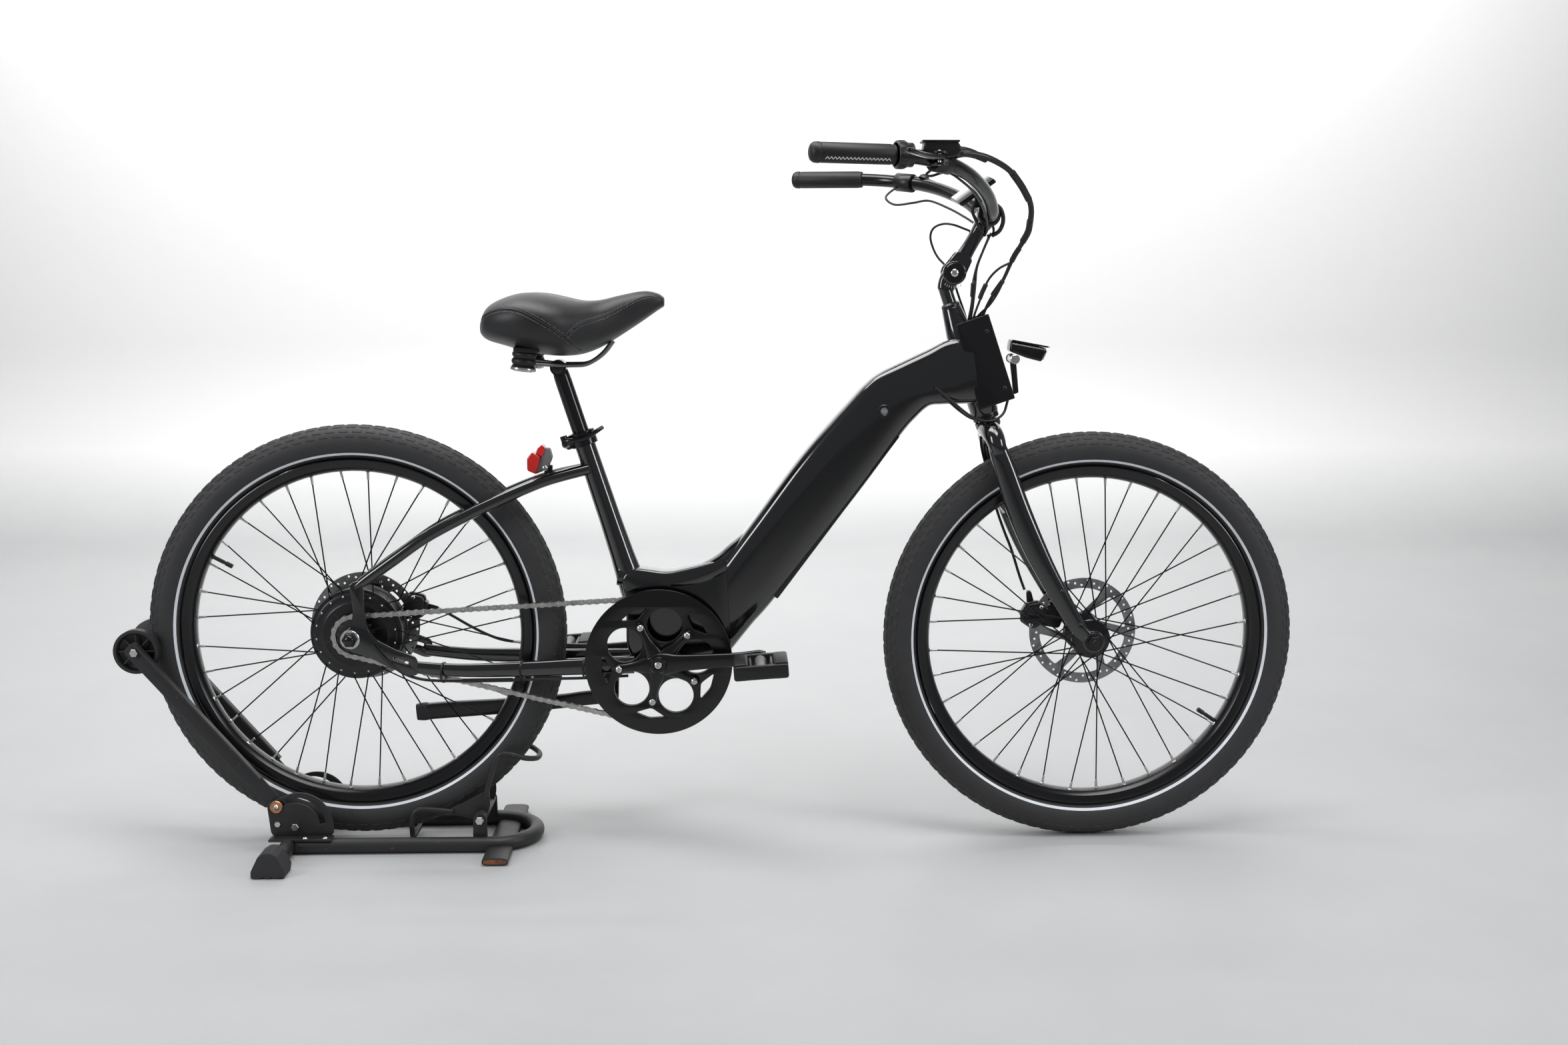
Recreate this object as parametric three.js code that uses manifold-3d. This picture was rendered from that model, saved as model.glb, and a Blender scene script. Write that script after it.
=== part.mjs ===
// A step-through electric bicycle whose rear wheel stands in a folding floor stand.
// Millimetres. +X is forward, +Y is the rider's left, +Z is up, and the floor is z = 0.
import * as THREE from "three";
import { mergeVertices } from "three/addons/utils/BufferGeometryUtils.js";
import Module from "manifold-3d";

const wasm = await Module();
wasm.setup();

// ---------------------------------------------------------------- driving dimensions
const GAP = 0.4; // clearance between pieces that touch
const WHEELBASE = 1202.6;
const TYRE_RADIUS = 340; // 26 x 2.35 balloon tyre
const TYRE_WIDTH = 60;
const RIM_OUTER = 284;
const RIM_INNER = 264;
const RIM_WIDTH = 38;
const REAR_LIFT = 14.8; // the stand's rollers hold the rear tyre this far off the floor
const SPOKES = 36;
const SPOKE_SIZE = 2.2;
const WHEEL_SIDES = 40;
const HUB_SIDES = 20;

const FRONT_AXLE = { x: WHEELBASE / 2, z: TYRE_RADIUS };
const REAR_AXLE = { x: -WHEELBASE / 2, z: TYRE_RADIUS + REAR_LIFT };
const AXLE_RADIUS = 5;
const MOTOR_AXLE_RADIUS = 7;
const FRONT_DROPOUT = 51; // inner face of each fork end, from the middle plane
const REAR_DROPOUT = 67.5;
const DROPOUT_THICKNESS = 6;
const ROTOR_RADIUS = 90;
const ROTOR_THICKNESS = 2;
const FRONT_ROTOR_Y = 38;
const REAR_ROTOR_Y = 49;
const MOTOR_RADIUS = 74;
const MOTOR_HALF_WIDTH = 34;

const CRANK = { x: -108.9, z: 310 };
const CRANK_LENGTH = 165;
const CRANK_ANGLE = 4.1; // degrees above straight forward
const SPINDLE_RADIUS = 8;
const SHELL_HALF_WIDTH = 34;
const SHELL_RADIUS = 22;
const CHAIN_Y = -46;
const CHAIN_PITCH = 12.7;
const CHAIN_WIDTH = 7;
const CHAIN_HEIGHT = 8;
const RING_TEETH = 52;
const SPROCKET_TEETH = 16;
const GUARD_RADIUS = 120;
const BOLT_CIRCLE = 65;
const SPIDER_ANGLE = 44.5;
const ARM_FACE = 84; // outer face of each crank arm
const PEDAL_LENGTH = 87;
const PEDAL_WIDTH = 95;
const PEDAL_HEIGHT = 27;

const SEAT_TILT = 17.8; // degrees back from upright
const SEAT_TUBE_RADIUS = 17;
const SEAT_TUBE_FOOT_RADIUS = 19.5;
const SEATPOST_RADIUS = 13.6;
const SEAT_TUBE_TOP = 678;
const SEATPOST_TOP = 788;
const SEAT_LINE = { x: -165.8, z: 470 }; // a point on the seat tube's axis
const KICKSTAND_PIVOT = { x: -196, z: 232 };
const DOWN_TUBE_HALF_WIDTH = 37;
const BATTERY_HALF_WIDTH = 28;
const BATTERY_DEPTH = 66;

const STEER_TILT = 18.5;
const STEER_FOOT = { x: 428.5, z: 698.4 }; // where the steering axis meets the fork crown
const HEAD_TUBE_RADIUS = 23;
const STEERER_RADIUS = 14.3;
const STEERER_BORE = 11.6;
const QUILL_RADIUS = 11.1;
const HEAD_LOW = 13; // distances along the steering axis from the crown
const HEAD_HIGH = 140;
const CAP_HIGH = 193;
const BOX_LOW = 23;
const BOX_HIGH = 166;
const BOX_FRONT = 51;
const BOX_BACK = -4;
const BOX_HALF_WIDTH = 29;
const BOX_WALL = 3;

const STEM_PIVOT = { x: 370, z: 937 };
const BAR = { x: 424, z: 1028 };
const BAR_RADIUS = 11;
const GRIP_RADIUS = 14.6;

const STAND_TUBE_RADIUS = 12.5;
const STAND_LEG_Y = 72;
const ROLLER = { x: -950, z: 332 };
const ROLLER_RADIUS = 36;
const ROLLER_AXLE_RADIUS = 4;
const STAND_PIVOT = { x: -703, z: 41.5 };
const CRADLE_PIVOT = { x: -403, z: 51 };
const PLATE_Y = 60;
const ARM_Y = 53;

// ---------------------------------------------------------------- finishes
const finish = (color, roughness, metalness = 0) =>
  new THREE.MeshStandardMaterial({ color, roughness, metalness });
const GLOSS_PAINT = () => finish(0x0a0a0b, 0.15, 0.2);
const SATIN_BLACK = () => finish(0x161617, 0.5, 0.3);
const STAND_PAINT = () => finish(0x1d1e20, 0.55, 0.3);
const RUBBER = () => finish(0x242427, 0.85);
const SOFT_GRIP = () => finish(0x151515, 0.7);
const STEEL = () => finish(0x9a9a9c, 0.35, 1);
const LEATHERETTE = () => finish(0x18181a, 0.45);
const PLASTIC = () => finish(0x17181a, 0.5);
const RED_LENS = () => finish(0xc01015, 0.2);

// ---------------------------------------------------------------- shape helpers
const radians = (degrees) => (degrees * Math.PI) / 180;

// A closed geometry as a solid for joining and cutting, with its faces turned outwards.
function solid(geometry) {
  const bare = geometry.clone();
  bare.deleteAttribute("normal");
  bare.deleteAttribute("uv");
  const merged = mergeVertices(bare, 1e-3);
  const triVerts = new Uint32Array(merged.index.array);
  const vertProperties = new Float32Array(merged.attributes.position.array);
  const make = () => new wasm.Manifold(new wasm.Mesh({ numProp: 3, vertProperties, triVerts }));
  const made = make();
  if (made.volume() > 0) return made;
  for (let i = 0; i < triVerts.length; i += 3) {
    [triVerts[i + 1], triVerts[i + 2]] = [triVerts[i + 2], triVerts[i + 1]];
  }
  return make();
}

function geometryOf(shape) {
  const mesh = shape.getMesh();
  const geometry = new THREE.BufferGeometry();
  geometry.setAttribute("position", new THREE.BufferAttribute(mesh.vertProperties, 3));
  geometry.setIndex(new THREE.BufferAttribute(mesh.triVerts, 1));
  geometry.computeVertexNormals();
  return geometry;
}

const join = (...shapes) => shapes.reduce((whole, shape) => whole.add(shape));
const cut = (shape, ...tools) => tools.reduce((rest, tool) => rest.subtract(tool), shape);

// A round bar along Y, centred on x, z.
function rodY(radius, y0, y1, at, sides = 18) {
  const geometry = new THREE.CylinderGeometry(radius, radius, Math.abs(y1 - y0), sides);
  return solid(geometry.translate(at.x, (y0 + y1) / 2, at.z));
}

// A round bar, or a cone, between two points.
function rodBetween(start, end, radius, endRadius = radius, sides = 16) {
  const from = new THREE.Vector3(...start);
  const along = new THREE.Vector3(...end).sub(from);
  const geometry = new THREE.CylinderGeometry(endRadius, radius, along.length(), sides);
  geometry.translate(0, along.length() / 2, 0);
  const turn = new THREE.Quaternion().setFromUnitVectors(
    new THREE.Vector3(0, 1, 0),
    along.clone().normalize(),
  );
  geometry.applyQuaternion(turn);
  return solid(geometry.translate(from.x, from.y, from.z));
}

// A round tube swept along a smooth curve through the points.
function sweep(points, radius, steps, sides = 10) {
  const curve = new THREE.CatmullRomCurve3(points.map((p) => new THREE.Vector3(...p)));
  const section = new THREE.Shape();
  for (let i = 0; i < sides; i += 1) {
    const angle = (2 * Math.PI * i) / sides;
    const place = [radius * Math.cos(angle), radius * Math.sin(angle)];
    if (i === 0) section.moveTo(...place);
    else section.lineTo(...place);
  }
  section.closePath();
  return solid(new THREE.ExtrudeGeometry(section, { steps, extrudePath: curve }));
}

// A flat piece with an outline in X and Z, between two values of Y.
function plate(outline, y0, y1, bevel = 0) {
  const shape = new THREE.Shape(outline.map(([x, z]) => new THREE.Vector2(x, z)));
  const low = Math.min(y0, y1);
  const high = Math.max(y0, y1);
  const geometry = new THREE.ExtrudeGeometry(shape, {
    depth: high - low - 2 * bevel,
    bevelEnabled: bevel > 0,
    bevelThickness: bevel,
    bevelSize: bevel,
    bevelOffset: -bevel,
    bevelSegments: 2,
    curveSegments: 12,
  });
  return solid(geometry.rotateX(Math.PI / 2).translate(0, high - bevel, 0));
}

// A piece turned about an axis along Y. The profile is [radius, y] and closes on itself.
function turned(profile, at, sides = 32) {
  const closed = [...profile, profile[0]].map(([r, y]) => new THREE.Vector2(r, y));
  const geometry = new THREE.LatheGeometry(closed, sides);
  return solid(geometry.translate(at.x, 0, at.z));
}

// A solid through a row of rings, each a list of the same number of points.
function loft(rings) {
  const count = rings[0].length;
  const positions = rings.flat(2);
  const index = [];
  for (let r = 0; r + 1 < rings.length; r += 1) {
    for (let i = 0; i < count; i += 1) {
      const a = r * count + i;
      const b = r * count + ((i + 1) % count);
      index.push(a, b, a + count, b, b + count, a + count);
    }
  }
  for (const [start, flip] of [[0, true], [(rings.length - 1) * count, false]]) {
    for (let i = 1; i + 1 < count; i += 1) {
      const [b, c] = flip ? [start + i + 1, start + i] : [start + i, start + i + 1];
      index.push(start, b, c);
    }
  }
  const geometry = new THREE.BufferGeometry();
  geometry.setAttribute("position", new THREE.Float32BufferAttribute(positions, 3));
  geometry.setIndex(index);
  return solid(geometry);
}

// An oval ring across a path that runs in the XZ plane: wide in that plane, thin along Y.
function ovalRing([x, y, z], wide, thin, slope, sides = 12) {
  return Array.from({ length: sides }, (_, i) => {
    const angle = (2 * Math.PI * i) / sides;
    const across = (wide / 2) * Math.cos(angle);
    return [
      x - across * Math.sin(slope),
      y + (thin / 2) * Math.sin(angle),
      z + across * Math.cos(slope),
    ];
  });
}

// An oval tube through stations [x, y, z, wide, thin].
function ovalTube(stations, sides = 12) {
  const rings = stations.map((station, i) => {
    const before = stations[Math.max(i - 1, 0)];
    const after = stations[Math.min(i + 1, stations.length - 1)];
    const slope = Math.atan2(after[2] - before[2], after[0] - before[0]);
    return ovalRing(station.slice(0, 3), station[3], station[4], slope, sides);
  });
  return loft(rings);
}

const mirrored = (shape) => shape.mirror([0, 1, 0]);

// ---------------------------------------------------------------- places on the two tilted axes
const seatUp = { x: -Math.sin(radians(SEAT_TILT)), z: Math.cos(radians(SEAT_TILT)) };
const onSeatLine = (z, y = 0) => [
  SEAT_LINE.x + ((z - SEAT_LINE.z) * seatUp.x) / seatUp.z, y, z,
];
const steerUp = { x: -Math.sin(radians(STEER_TILT)), z: Math.cos(radians(STEER_TILT)) };
const steerFront = { x: Math.cos(radians(STEER_TILT)), z: Math.sin(radians(STEER_TILT)) };
const onSteerer = (along, front = 0, y = 0) => [
  STEER_FOOT.x + steerUp.x * along + steerFront.x * front,
  y,
  STEER_FOOT.z + steerUp.z * along + steerFront.z * front,
];
const steerRod = (radius, low, high, sides = 18) =>
  rodBetween(onSteerer(low), onSteerer(high), radius, radius, sides);
const seatRod = (radius, low, high, footRadius = radius, sides = 18) =>
  rodBetween(onSeatLine(low), onSeatLine(high), footRadius, radius, sides);

const bike = new THREE.Group();

const SLIVER = 0.05; // cuts leave thin triangles, which are merged up to this size

function piece(name, shape, material) {
  const mesh = new THREE.Mesh(geometryOf(shape.simplify(SLIVER)), material);
  mesh.name = name;
  bike.add(mesh);
}

// ---------------------------------------------------------------- wheels
function tyre(axle) {
  const half = TYRE_WIDTH / 2;
  const bead = RIM_OUTER + GAP;
  const side = [[bead, 18], [298, 28], [316, half], [333, 23], [TYRE_RADIUS, 9]];
  const across = side.map(([r, y]) => [r, -y]).reverse();
  return turned([...side, ...across], axle, WHEEL_SIDES);
}

function rimAndSpokes(axle, flangeRadius, flangeY, crossing) {
  const half = RIM_WIDTH / 2;
  const bed = [[RIM_INNER, 6], [271, 15], [RIM_OUTER, half]];
  const rim = turned([...bed, ...bed.map(([r, y]) => [r, -y]).reverse()], axle, WHEEL_SIDES);
  const bars = Array.from({ length: SPOKES }, (_, i) => {
    const side = i % 2 === 0 ? 1 : -1;
    const lean = Math.floor(i / 2) % 2 === 0 ? 1 : -1;
    const rimAngle = (2 * Math.PI * (i + 0.5)) / SPOKES;
    const hubAngle = rimAngle + lean * radians(crossing);
    const at = (r, angle, y) => [axle.x + r * Math.cos(angle), y, axle.z + r * Math.sin(angle)];
    return rodBetween(
      at(flangeRadius + 2, hubAngle, side * (flangeY + 1.5 * lean)),
      at(RIM_INNER + 3, rimAngle, side * 2),
      SPOKE_SIZE / 2, SPOKE_SIZE / 2, 3,
    );
  });
  return join(rim, ...bars);
}

function rotor(axle, y) {
  const low = y - ROTOR_THICKNESS / 2;
  const high = y + ROTOR_THICKNESS / 2;
  const ring = turned(
    [[ROTOR_RADIUS - 17, low], [ROTOR_RADIUS, low], [ROTOR_RADIUS, high], [ROTOR_RADIUS - 17, high]],
    axle, 30,
  );
  const boss = turned([[17, low], [31, low], [31, high], [17, high]], axle, 18);
  const arms = Array.from({ length: 5 }, (_, i) => {
    const angle = (2 * Math.PI * i) / 5;
    const lead = angle + 0.5;
    const point = (r, a, side) => [
      axle.x + r * Math.cos(a) - side * Math.sin(a),
      axle.z + r * Math.sin(a) + side * Math.cos(a),
    ];
    return plate([point(27, angle, -5), point(76, lead, -5), point(76, lead, 5), point(27, angle, 5)],
      low, high);
  });
  return join(ring, boss, ...arms);
}

const FRONT_FLANGE = { radius: 28, y: 31 };
const REAR_FLANGE = { radius: MOTOR_RADIUS, y: 28 };

function frontHub() {
  const bore = AXLE_RADIUS + GAP;
  const seat = FRONT_ROTOR_Y - ROTOR_THICKNESS / 2 - GAP;
  const { radius, y } = FRONT_FLANGE;
  return turned(
    [[bore, -47], [11, -47], [13, -38], [radius, -y - 2], [radius, -y + 2], [15, -y + 6],
      [15, y - 6], [radius, y - 2], [radius, y + 2], [24, seat], [16, seat], [16, 46], [bore, 46]],
    FRONT_AXLE, HUB_SIDES,
  );
}

function hubMotor() {
  const bore = MOTOR_AXLE_RADIUS + GAP;
  const half = MOTOR_HALF_WIDTH;
  const rotorSeat = REAR_ROTOR_Y - ROTOR_THICKNESS / 2 - GAP;
  return turned(
    [[bore, -40], [20, -40], [24, -half - 2], [62, -half], [MOTOR_RADIUS, -26],
      [MOTOR_RADIUS, 26], [62, half], [30, half + 3], [30, rotorSeat], [16, rotorSeat], [16, 60],
      [bore, 60]],
    REAR_AXLE, 28,
  );
}

piece("front_tyre", tyre(FRONT_AXLE), RUBBER());
piece("rear_tyre", tyre(REAR_AXLE), RUBBER());
piece("front_rim_and_spokes",
  rimAndSpokes(FRONT_AXLE, FRONT_FLANGE.radius, FRONT_FLANGE.y, 58), GLOSS_PAINT());
piece("rear_rim_and_spokes",
  rimAndSpokes(REAR_AXLE, REAR_FLANGE.radius, REAR_FLANGE.y, 17), GLOSS_PAINT());
piece("front_hub", frontHub(), SATIN_BLACK());
piece("hub_motor", hubMotor(), SATIN_BLACK());
piece("front_rotor", rotor(FRONT_AXLE, FRONT_ROTOR_Y), STEEL());
piece("rear_rotor", rotor(REAR_AXLE, REAR_ROTOR_Y), STEEL());

// ---------------------------------------------------------------- axles and nuts
function axle(at, radius, dropout, nutRadius, reach) {
  const nutFace = dropout + DROPOUT_THICKNESS + GAP;
  const nuts = [-1, 1].map((side) =>
    rodY(nutRadius, side * nutFace, side * (nutFace + 9), at, 6));
  return join(rodY(radius, -reach, reach, at), ...nuts);
}
piece("front_axle", axle(FRONT_AXLE, AXLE_RADIUS, FRONT_DROPOUT, 9, 69), SATIN_BLACK());
piece("rear_axle", axle(REAR_AXLE, MOTOR_AXLE_RADIUS, REAR_DROPOUT, 12, 88), SATIN_BLACK());

// ---------------------------------------------------------------- chain drive
const pitchRadius = (teeth) => CHAIN_PITCH / (2 * Math.sin(Math.PI / teeth));
const RING_RADIUS = pitchRadius(RING_TEETH) - CHAIN_HEIGHT / 2 - GAP;
const SPROCKET_RADIUS = pitchRadius(SPROCKET_TEETH) - CHAIN_HEIGHT / 2 - GAP;

// The outline of a belt round both toothed wheels, at an offset from the pitch line.
function beltOutline(offset) {
  const rear = pitchRadius(SPROCKET_TEETH) + offset;
  const front = pitchRadius(RING_TEETH) + offset;
  const dx = CRANK.x - REAR_AXLE.x;
  const dz = CRANK.z - REAR_AXLE.z;
  const line = Math.atan2(dz, dx);
  const spread = Math.acos((rear - front) / Math.hypot(dx, dz));
  const arc = (at, radius, start, end, steps) =>
    Array.from({ length: steps + 1 }, (_, i) => {
      const angle = start + ((end - start) * i) / steps;
      return [at.x + radius * Math.cos(angle), at.z + radius * Math.sin(angle)];
    });
  return [
    ...arc(CRANK, front, line - spread, line + spread, 24),
    ...arc(REAR_AXLE, rear, line + spread, line - spread + 2 * Math.PI, 9),
  ];
}

function chain() {
  const low = CHAIN_Y - CHAIN_WIDTH / 2;
  const high = CHAIN_Y + CHAIN_WIDTH / 2;
  const outer = plate(beltOutline(CHAIN_HEIGHT / 2), low, high);
  const inner = plate(beltOutline(-CHAIN_HEIGHT / 2), low - 1, high + 1);
  return cut(outer, inner);
}

function sprocket() {
  const bore = MOTOR_AXLE_RADIUS + GAP;
  const low = CHAIN_Y - 1.5;
  return turned(
    [[bore, low - 4], [17, low - 4], [17, low], [SPROCKET_RADIUS, low],
      [SPROCKET_RADIUS, low + 3], [17, low + 3], [17, -40 - GAP], [bore, -40 - GAP]],
    REAR_AXLE, 20,
  );
}

const polar = (at, r, degrees) => [
  at.x + r * Math.cos(radians(degrees)), at.z + r * Math.sin(radians(degrees)),
];

// The chainring and its guard disc are one plate here, with the five round windows.
function chainring() {
  const ring = rodY(RING_RADIUS, CHAIN_Y - 1.5, CHAIN_Y + 1.5, CRANK, 30);
  const spacer = rodY(96, CHAIN_Y - 1, CHAIN_Y - 5, CRANK, 24);
  const guard = rodY(GUARD_RADIUS, CHAIN_Y - 4.5, CHAIN_Y - 7.5, CRANK, 30);
  const windows = Array.from({ length: 5 }, (_, i) => {
    const [x, z] = polar(CRANK, 60, SPIDER_ANGLE + 36 + 72 * i);
    return rodY(26, CHAIN_Y - 20, CHAIN_Y + 20, { x, z }, 10);
  });
  const bore = rodY(30, CHAIN_Y - 20, CHAIN_Y + 20, CRANK, 16);
  return cut(join(ring, spacer, guard), bore, ...windows);
}

const crankEnd = (direction) => {
  const [x, z] = polar(CRANK, CRANK_LENGTH * direction, CRANK_ANGLE);
  return { x, z };
};

function crankArm(side, direction) {
  const end = crankEnd(direction);
  const inner = side * (ARM_FACE - 19);
  const outer = side * ARM_FACE;
  const across = radians(CRANK_ANGLE + 90);
  const edge = (at, half) => [
    [at.x + half * Math.cos(across), at.z + half * Math.sin(across)],
    [at.x - half * Math.cos(across), at.z - half * Math.sin(across)],
  ];
  const [a, b] = edge(CRANK, 17);
  const [c, d] = edge(end, 12);
  const web = plate([a, c, d, b], outer - side * 13, outer);
  return join(web, rodY(18, inner, outer, CRANK), rodY(14, outer - side * 13, outer, end, 20));
}

function pedalAxle(side, direction) {
  return rodY(6, side * (ARM_FACE - 4), side * (ARM_FACE + 6 + PEDAL_WIDTH), crankEnd(direction), 12);
}

// The drive-side crank holds the spindle and the five-armed spider.
function rightCrank() {
  const spiderFace = CHAIN_Y - 7.5 - GAP;
  const legs = Array.from({ length: 5 }, (_, i) => {
    const angle = SPIDER_ANGLE + 72 * i;
    const [x, z] = polar(CRANK, BOLT_CIRCLE, angle);
    const side = radians(angle + 90);
    const corner = (at, half) => [
      [at[0] + half * Math.cos(side), at[1] + half * Math.sin(side)],
      [at[0] - half * Math.cos(side), at[1] - half * Math.sin(side)],
    ];
    const [a, b] = corner([CRANK.x, CRANK.z], 14);
    const [c, d] = corner([x, z], 8);
    return join(plate([a, c, d, b], spiderFace, spiderFace - 6),
      rodY(9, spiderFace, spiderFace - 6, { x, z }, 16));
  });
  const spindle = rodY(SPINDLE_RADIUS, -ARM_FACE + 4, ARM_FACE - 21, CRANK);
  const hub = rodY(22, spiderFace, -ARM_FACE + 12, CRANK);
  return join(crankArm(-1, 1), spindle, hub, ...legs, pedalAxle(-1, 1));
}

function pedal(side, direction) {
  const end = crankEnd(direction);
  const near = side * (ARM_FACE + 8);
  const far = near + side * PEDAL_WIDTH;
  const half = PEDAL_LENGTH / 2;
  const tall = PEDAL_HEIGHT / 2;
  const bar = (x0, x1, y0, y1) =>
    plate([[end.x + x0, end.z - tall], [end.x + x1, end.z - tall],
      [end.x + x1, end.z + tall], [end.x + x0, end.z + tall]], y0, y1);
  const cage = [
    bar(-half, -half + 15, near, far),
    bar(half - 15, half, near, far),
    bar(-half, half, near, near + side * 12),
    bar(-half, half, far - side * 12, far),
    rodY(11, near, far, end, 16),
  ];
  return cut(join(...cage), rodY(6 + GAP, near - side, far + side, end, 12));
}

piece("chain", chain(), STEEL());
piece("rear_sprocket", sprocket(), SATIN_BLACK());
piece("chainring", chainring(), GLOSS_PAINT());
piece("right_crank", rightCrank(), GLOSS_PAINT());
piece("left_crank",
  cut(join(crankArm(1, -1), pedalAxle(1, -1)),
    rodY(SPINDLE_RADIUS + GAP, 0, ARM_FACE - 20, CRANK)), GLOSS_PAINT());
piece("right_pedal", pedal(-1, 1), PLASTIC());
piece("left_pedal", pedal(1, -1), PLASTIC());

// ---------------------------------------------------------------- frame
const CUT_REACH = 400;
const headCutter = () => steerRod(HEAD_TUBE_RADIUS + GAP, -60, CAP_HIGH + 60);
const seatCutter = () => seatRod(SEAT_TUBE_RADIUS + GAP, 420, SEAT_TUBE_TOP + 40,
  SEAT_TUBE_FOOT_RADIUS + GAP);

// The down tube's upper edge and the battery edge below it, from the bottom bracket forwards.
const DOWN_TOP = [[2, 477.5], [128.5, 648], [207, 738], [228, 760], [250, 777.5], [290, 797],
  [330, 815.5], [362, 831], [400, 838]];
const DOWN_BOTTOM = [[412, 727], [352, 725.5], [331, 722.5], [309, 703], [286, 676],
  [197, 553], [84, 411.5], [42.5, 363], [9, 321]];
const ALONG_DOWN = { x: 0.5977, z: 0.8017 };
const BATTERY_LOW = { x: 84, z: 409.5 };
const BATTERY_LENGTH = 332;

function batteryBlock(extra) {
  const out = { x: ALONG_DOWN.z, z: -ALONG_DOWN.x };
  const corner = (along, depth) => [
    BATTERY_LOW.x + ALONG_DOWN.x * along + out.x * depth,
    BATTERY_LOW.z + ALONG_DOWN.z * along + out.z * depth,
  ];
  const outside = extra > 0 ? 30 : 1.5;
  return plate(
    [corner(-extra, outside), corner(BATTERY_LENGTH + extra, outside),
      corner(BATTERY_LENGTH + extra, -BATTERY_DEPTH - extra), corner(-extra, -BATTERY_DEPTH - extra)],
    -BATTERY_HALF_WIDTH - extra, BATTERY_HALF_WIDTH + extra,
  );
}

const LOCK = { x: 256.8, z: 716.6 };

function downTube() {
  const body = plate([...DOWN_TOP, ...DOWN_BOTTOM], -DOWN_TUBE_HALF_WIDTH, DOWN_TUBE_HALF_WIDTH, 11);
  const lockHole = rodY(9 + GAP, -60, -DOWN_TUBE_HALF_WIDTH + 8, LOCK, 16);
  const boxRoom = steerBlock(-100, 300, BOX_BACK - GAP, 200, 60);
  return cut(body, headCutter(), boxRoom, batteryBlock(GAP), lockHole);
}

function seatTube() {
  const wall = seatRod(SEAT_TUBE_RADIUS, 424, SEAT_TUBE_TOP, SEAT_TUBE_FOOT_RADIUS);
  return cut(wall, seatRod(SEATPOST_RADIUS + GAP, 450, SEAT_TUBE_TOP + 20));
}

// The block that joins the seat tube, the step and the down tube round the crank spindle.
function junction() {
  const outline = [[-183, 470], [-150, 461], [-94, 452.5], [-42, 464], [12, 480], [14, 322],
    [-20, 312], [-70, 298], [-96, 289], [-122, 289], [-150, 300], [-163, 330], [-163, 400]];
  const block = plate(outline, -24, 24, 7);
  const shell = rodY(SHELL_RADIUS, -SHELL_HALF_WIDTH, SHELL_HALF_WIDTH, CRANK);
  const downCutter = plate([[2 - GAP, 477.5], [128.5, 648], [400, 838], [412, 727], [286, 676],
    [84, 300], [9 - GAP, 300]], -CUT_REACH, CUT_REACH);
  const bore = rodY(SPINDLE_RADIUS + GAP, -60, 60, CRANK);
  return cut(join(block, shell), seatCutter(), downCutter, bore);
}

function headTube() {
  const tube = steerRod(HEAD_TUBE_RADIUS, HEAD_LOW, HEAD_HIGH);
  const cup = steerRod(HEAD_TUBE_RADIUS - 1.5, 3, HEAD_LOW + 2);
  const cap = rodBetween(onSteerer(HEAD_HIGH - 2), onSteerer(CAP_HIGH), HEAD_TUBE_RADIUS, 15.5, 18);
  return cut(join(tube, cup, cap), steerRod(STEERER_RADIUS + 0.6, -20, CAP_HIGH + 20));
}

// A round-ended plate that holds the rear axle and meets both stays.
const DROPOUT_OUTLINE = [[-600, 446], [-578, 452], [-577, 396], [-572, 369], [-559, 354],
  [-532, 339], [-496, 325], [-494, 296], [-508, 294], [-540, 308], [-572, 325], [-601, 336],
  [-616, 350], [-615, 366], [-600, 374], [-595, 400]];

function chainstay(side) {
  const tube = ovalTube([
    [-506, side * 67, 308, 20, 12], [-470, side * 65, 303, 25, 17], [-430, side * 62, 301, 27, 18],
    [-390, side * 59.5, 300, 29, 18], [-345, side * 53.5, 300, 30, 18], [-300, side * 46.5, 300, 30, 18],
    [-250, side * 37, 300, 30, 16], [-205, side * 31, 300, 30, 15], [-150, side * 28, 301, 30, 14],
  ]);
  const inner = side * REAR_DROPOUT;
  const end = plate(DROPOUT_OUTLINE, inner, inner + side * DROPOUT_THICKNESS);
  const axleHole = rodY(MOTOR_AXLE_RADIUS + GAP, -100, 100, REAR_AXLE);
  const shellCutter = rodY(SHELL_RADIUS + GAP, -60, 60, CRANK);
  const blockCutter = plate([[-163 - GAP, 250], [-60, 250], [-60, 480], [-163 - GAP, 480]], -60, 60);
  const stay = cut(join(tube, end), axleHole, shellCutter, blockCutter);
  if (side < 0) return stay;
  const { x, z } = KICKSTAND_PIVOT;
  const hanger = plate([[x - 18, 296], [x + 22, 296], [x + 14, z - 8], [x - 12, z - 12]], 28, 40);
  return join(stay, hanger, rodY(5, 36, 62, KICKSTAND_PIVOT, 12));
}

function seatstays() {
  const stay = sweep([[-572, -65, 452.5], [-530, -65, 482], [-480, -61, 517], [-420, -54, 549],
    [-362, -47, 576], [-320, -39, 594], [-281, -30, 608], [-222, -12, 622]], 9.5, 10, 8);
  const bridge = rodY(6, -38, 38, { x: -312, z: 597 }, 12);
  const ends = plate([[-620, 380], [-560, 380], [-560, 453], [-620, 453]], -100, 100);
  return cut(join(stay, mirrored(stay), bridge), seatCutter(), ends);
}

piece("down_tube", downTube(), GLOSS_PAINT());
piece("battery_pack", batteryBlock(0), GLOSS_PAINT());
piece("battery_lock", rodY(9, -DOWN_TUBE_HALF_WIDTH - 2, -DOWN_TUBE_HALF_WIDTH + 7.5, LOCK, 16),
  PLASTIC());
piece("seat_tube", seatTube(), GLOSS_PAINT());
piece("bottom_bracket_junction", junction(), GLOSS_PAINT());
piece("head_tube", headTube(), GLOSS_PAINT());
piece("right_chainstay", chainstay(-1), GLOSS_PAINT());
piece("left_chainstay", chainstay(1), GLOSS_PAINT());
piece("seatstays", seatstays(), GLOSS_PAINT());

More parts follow.
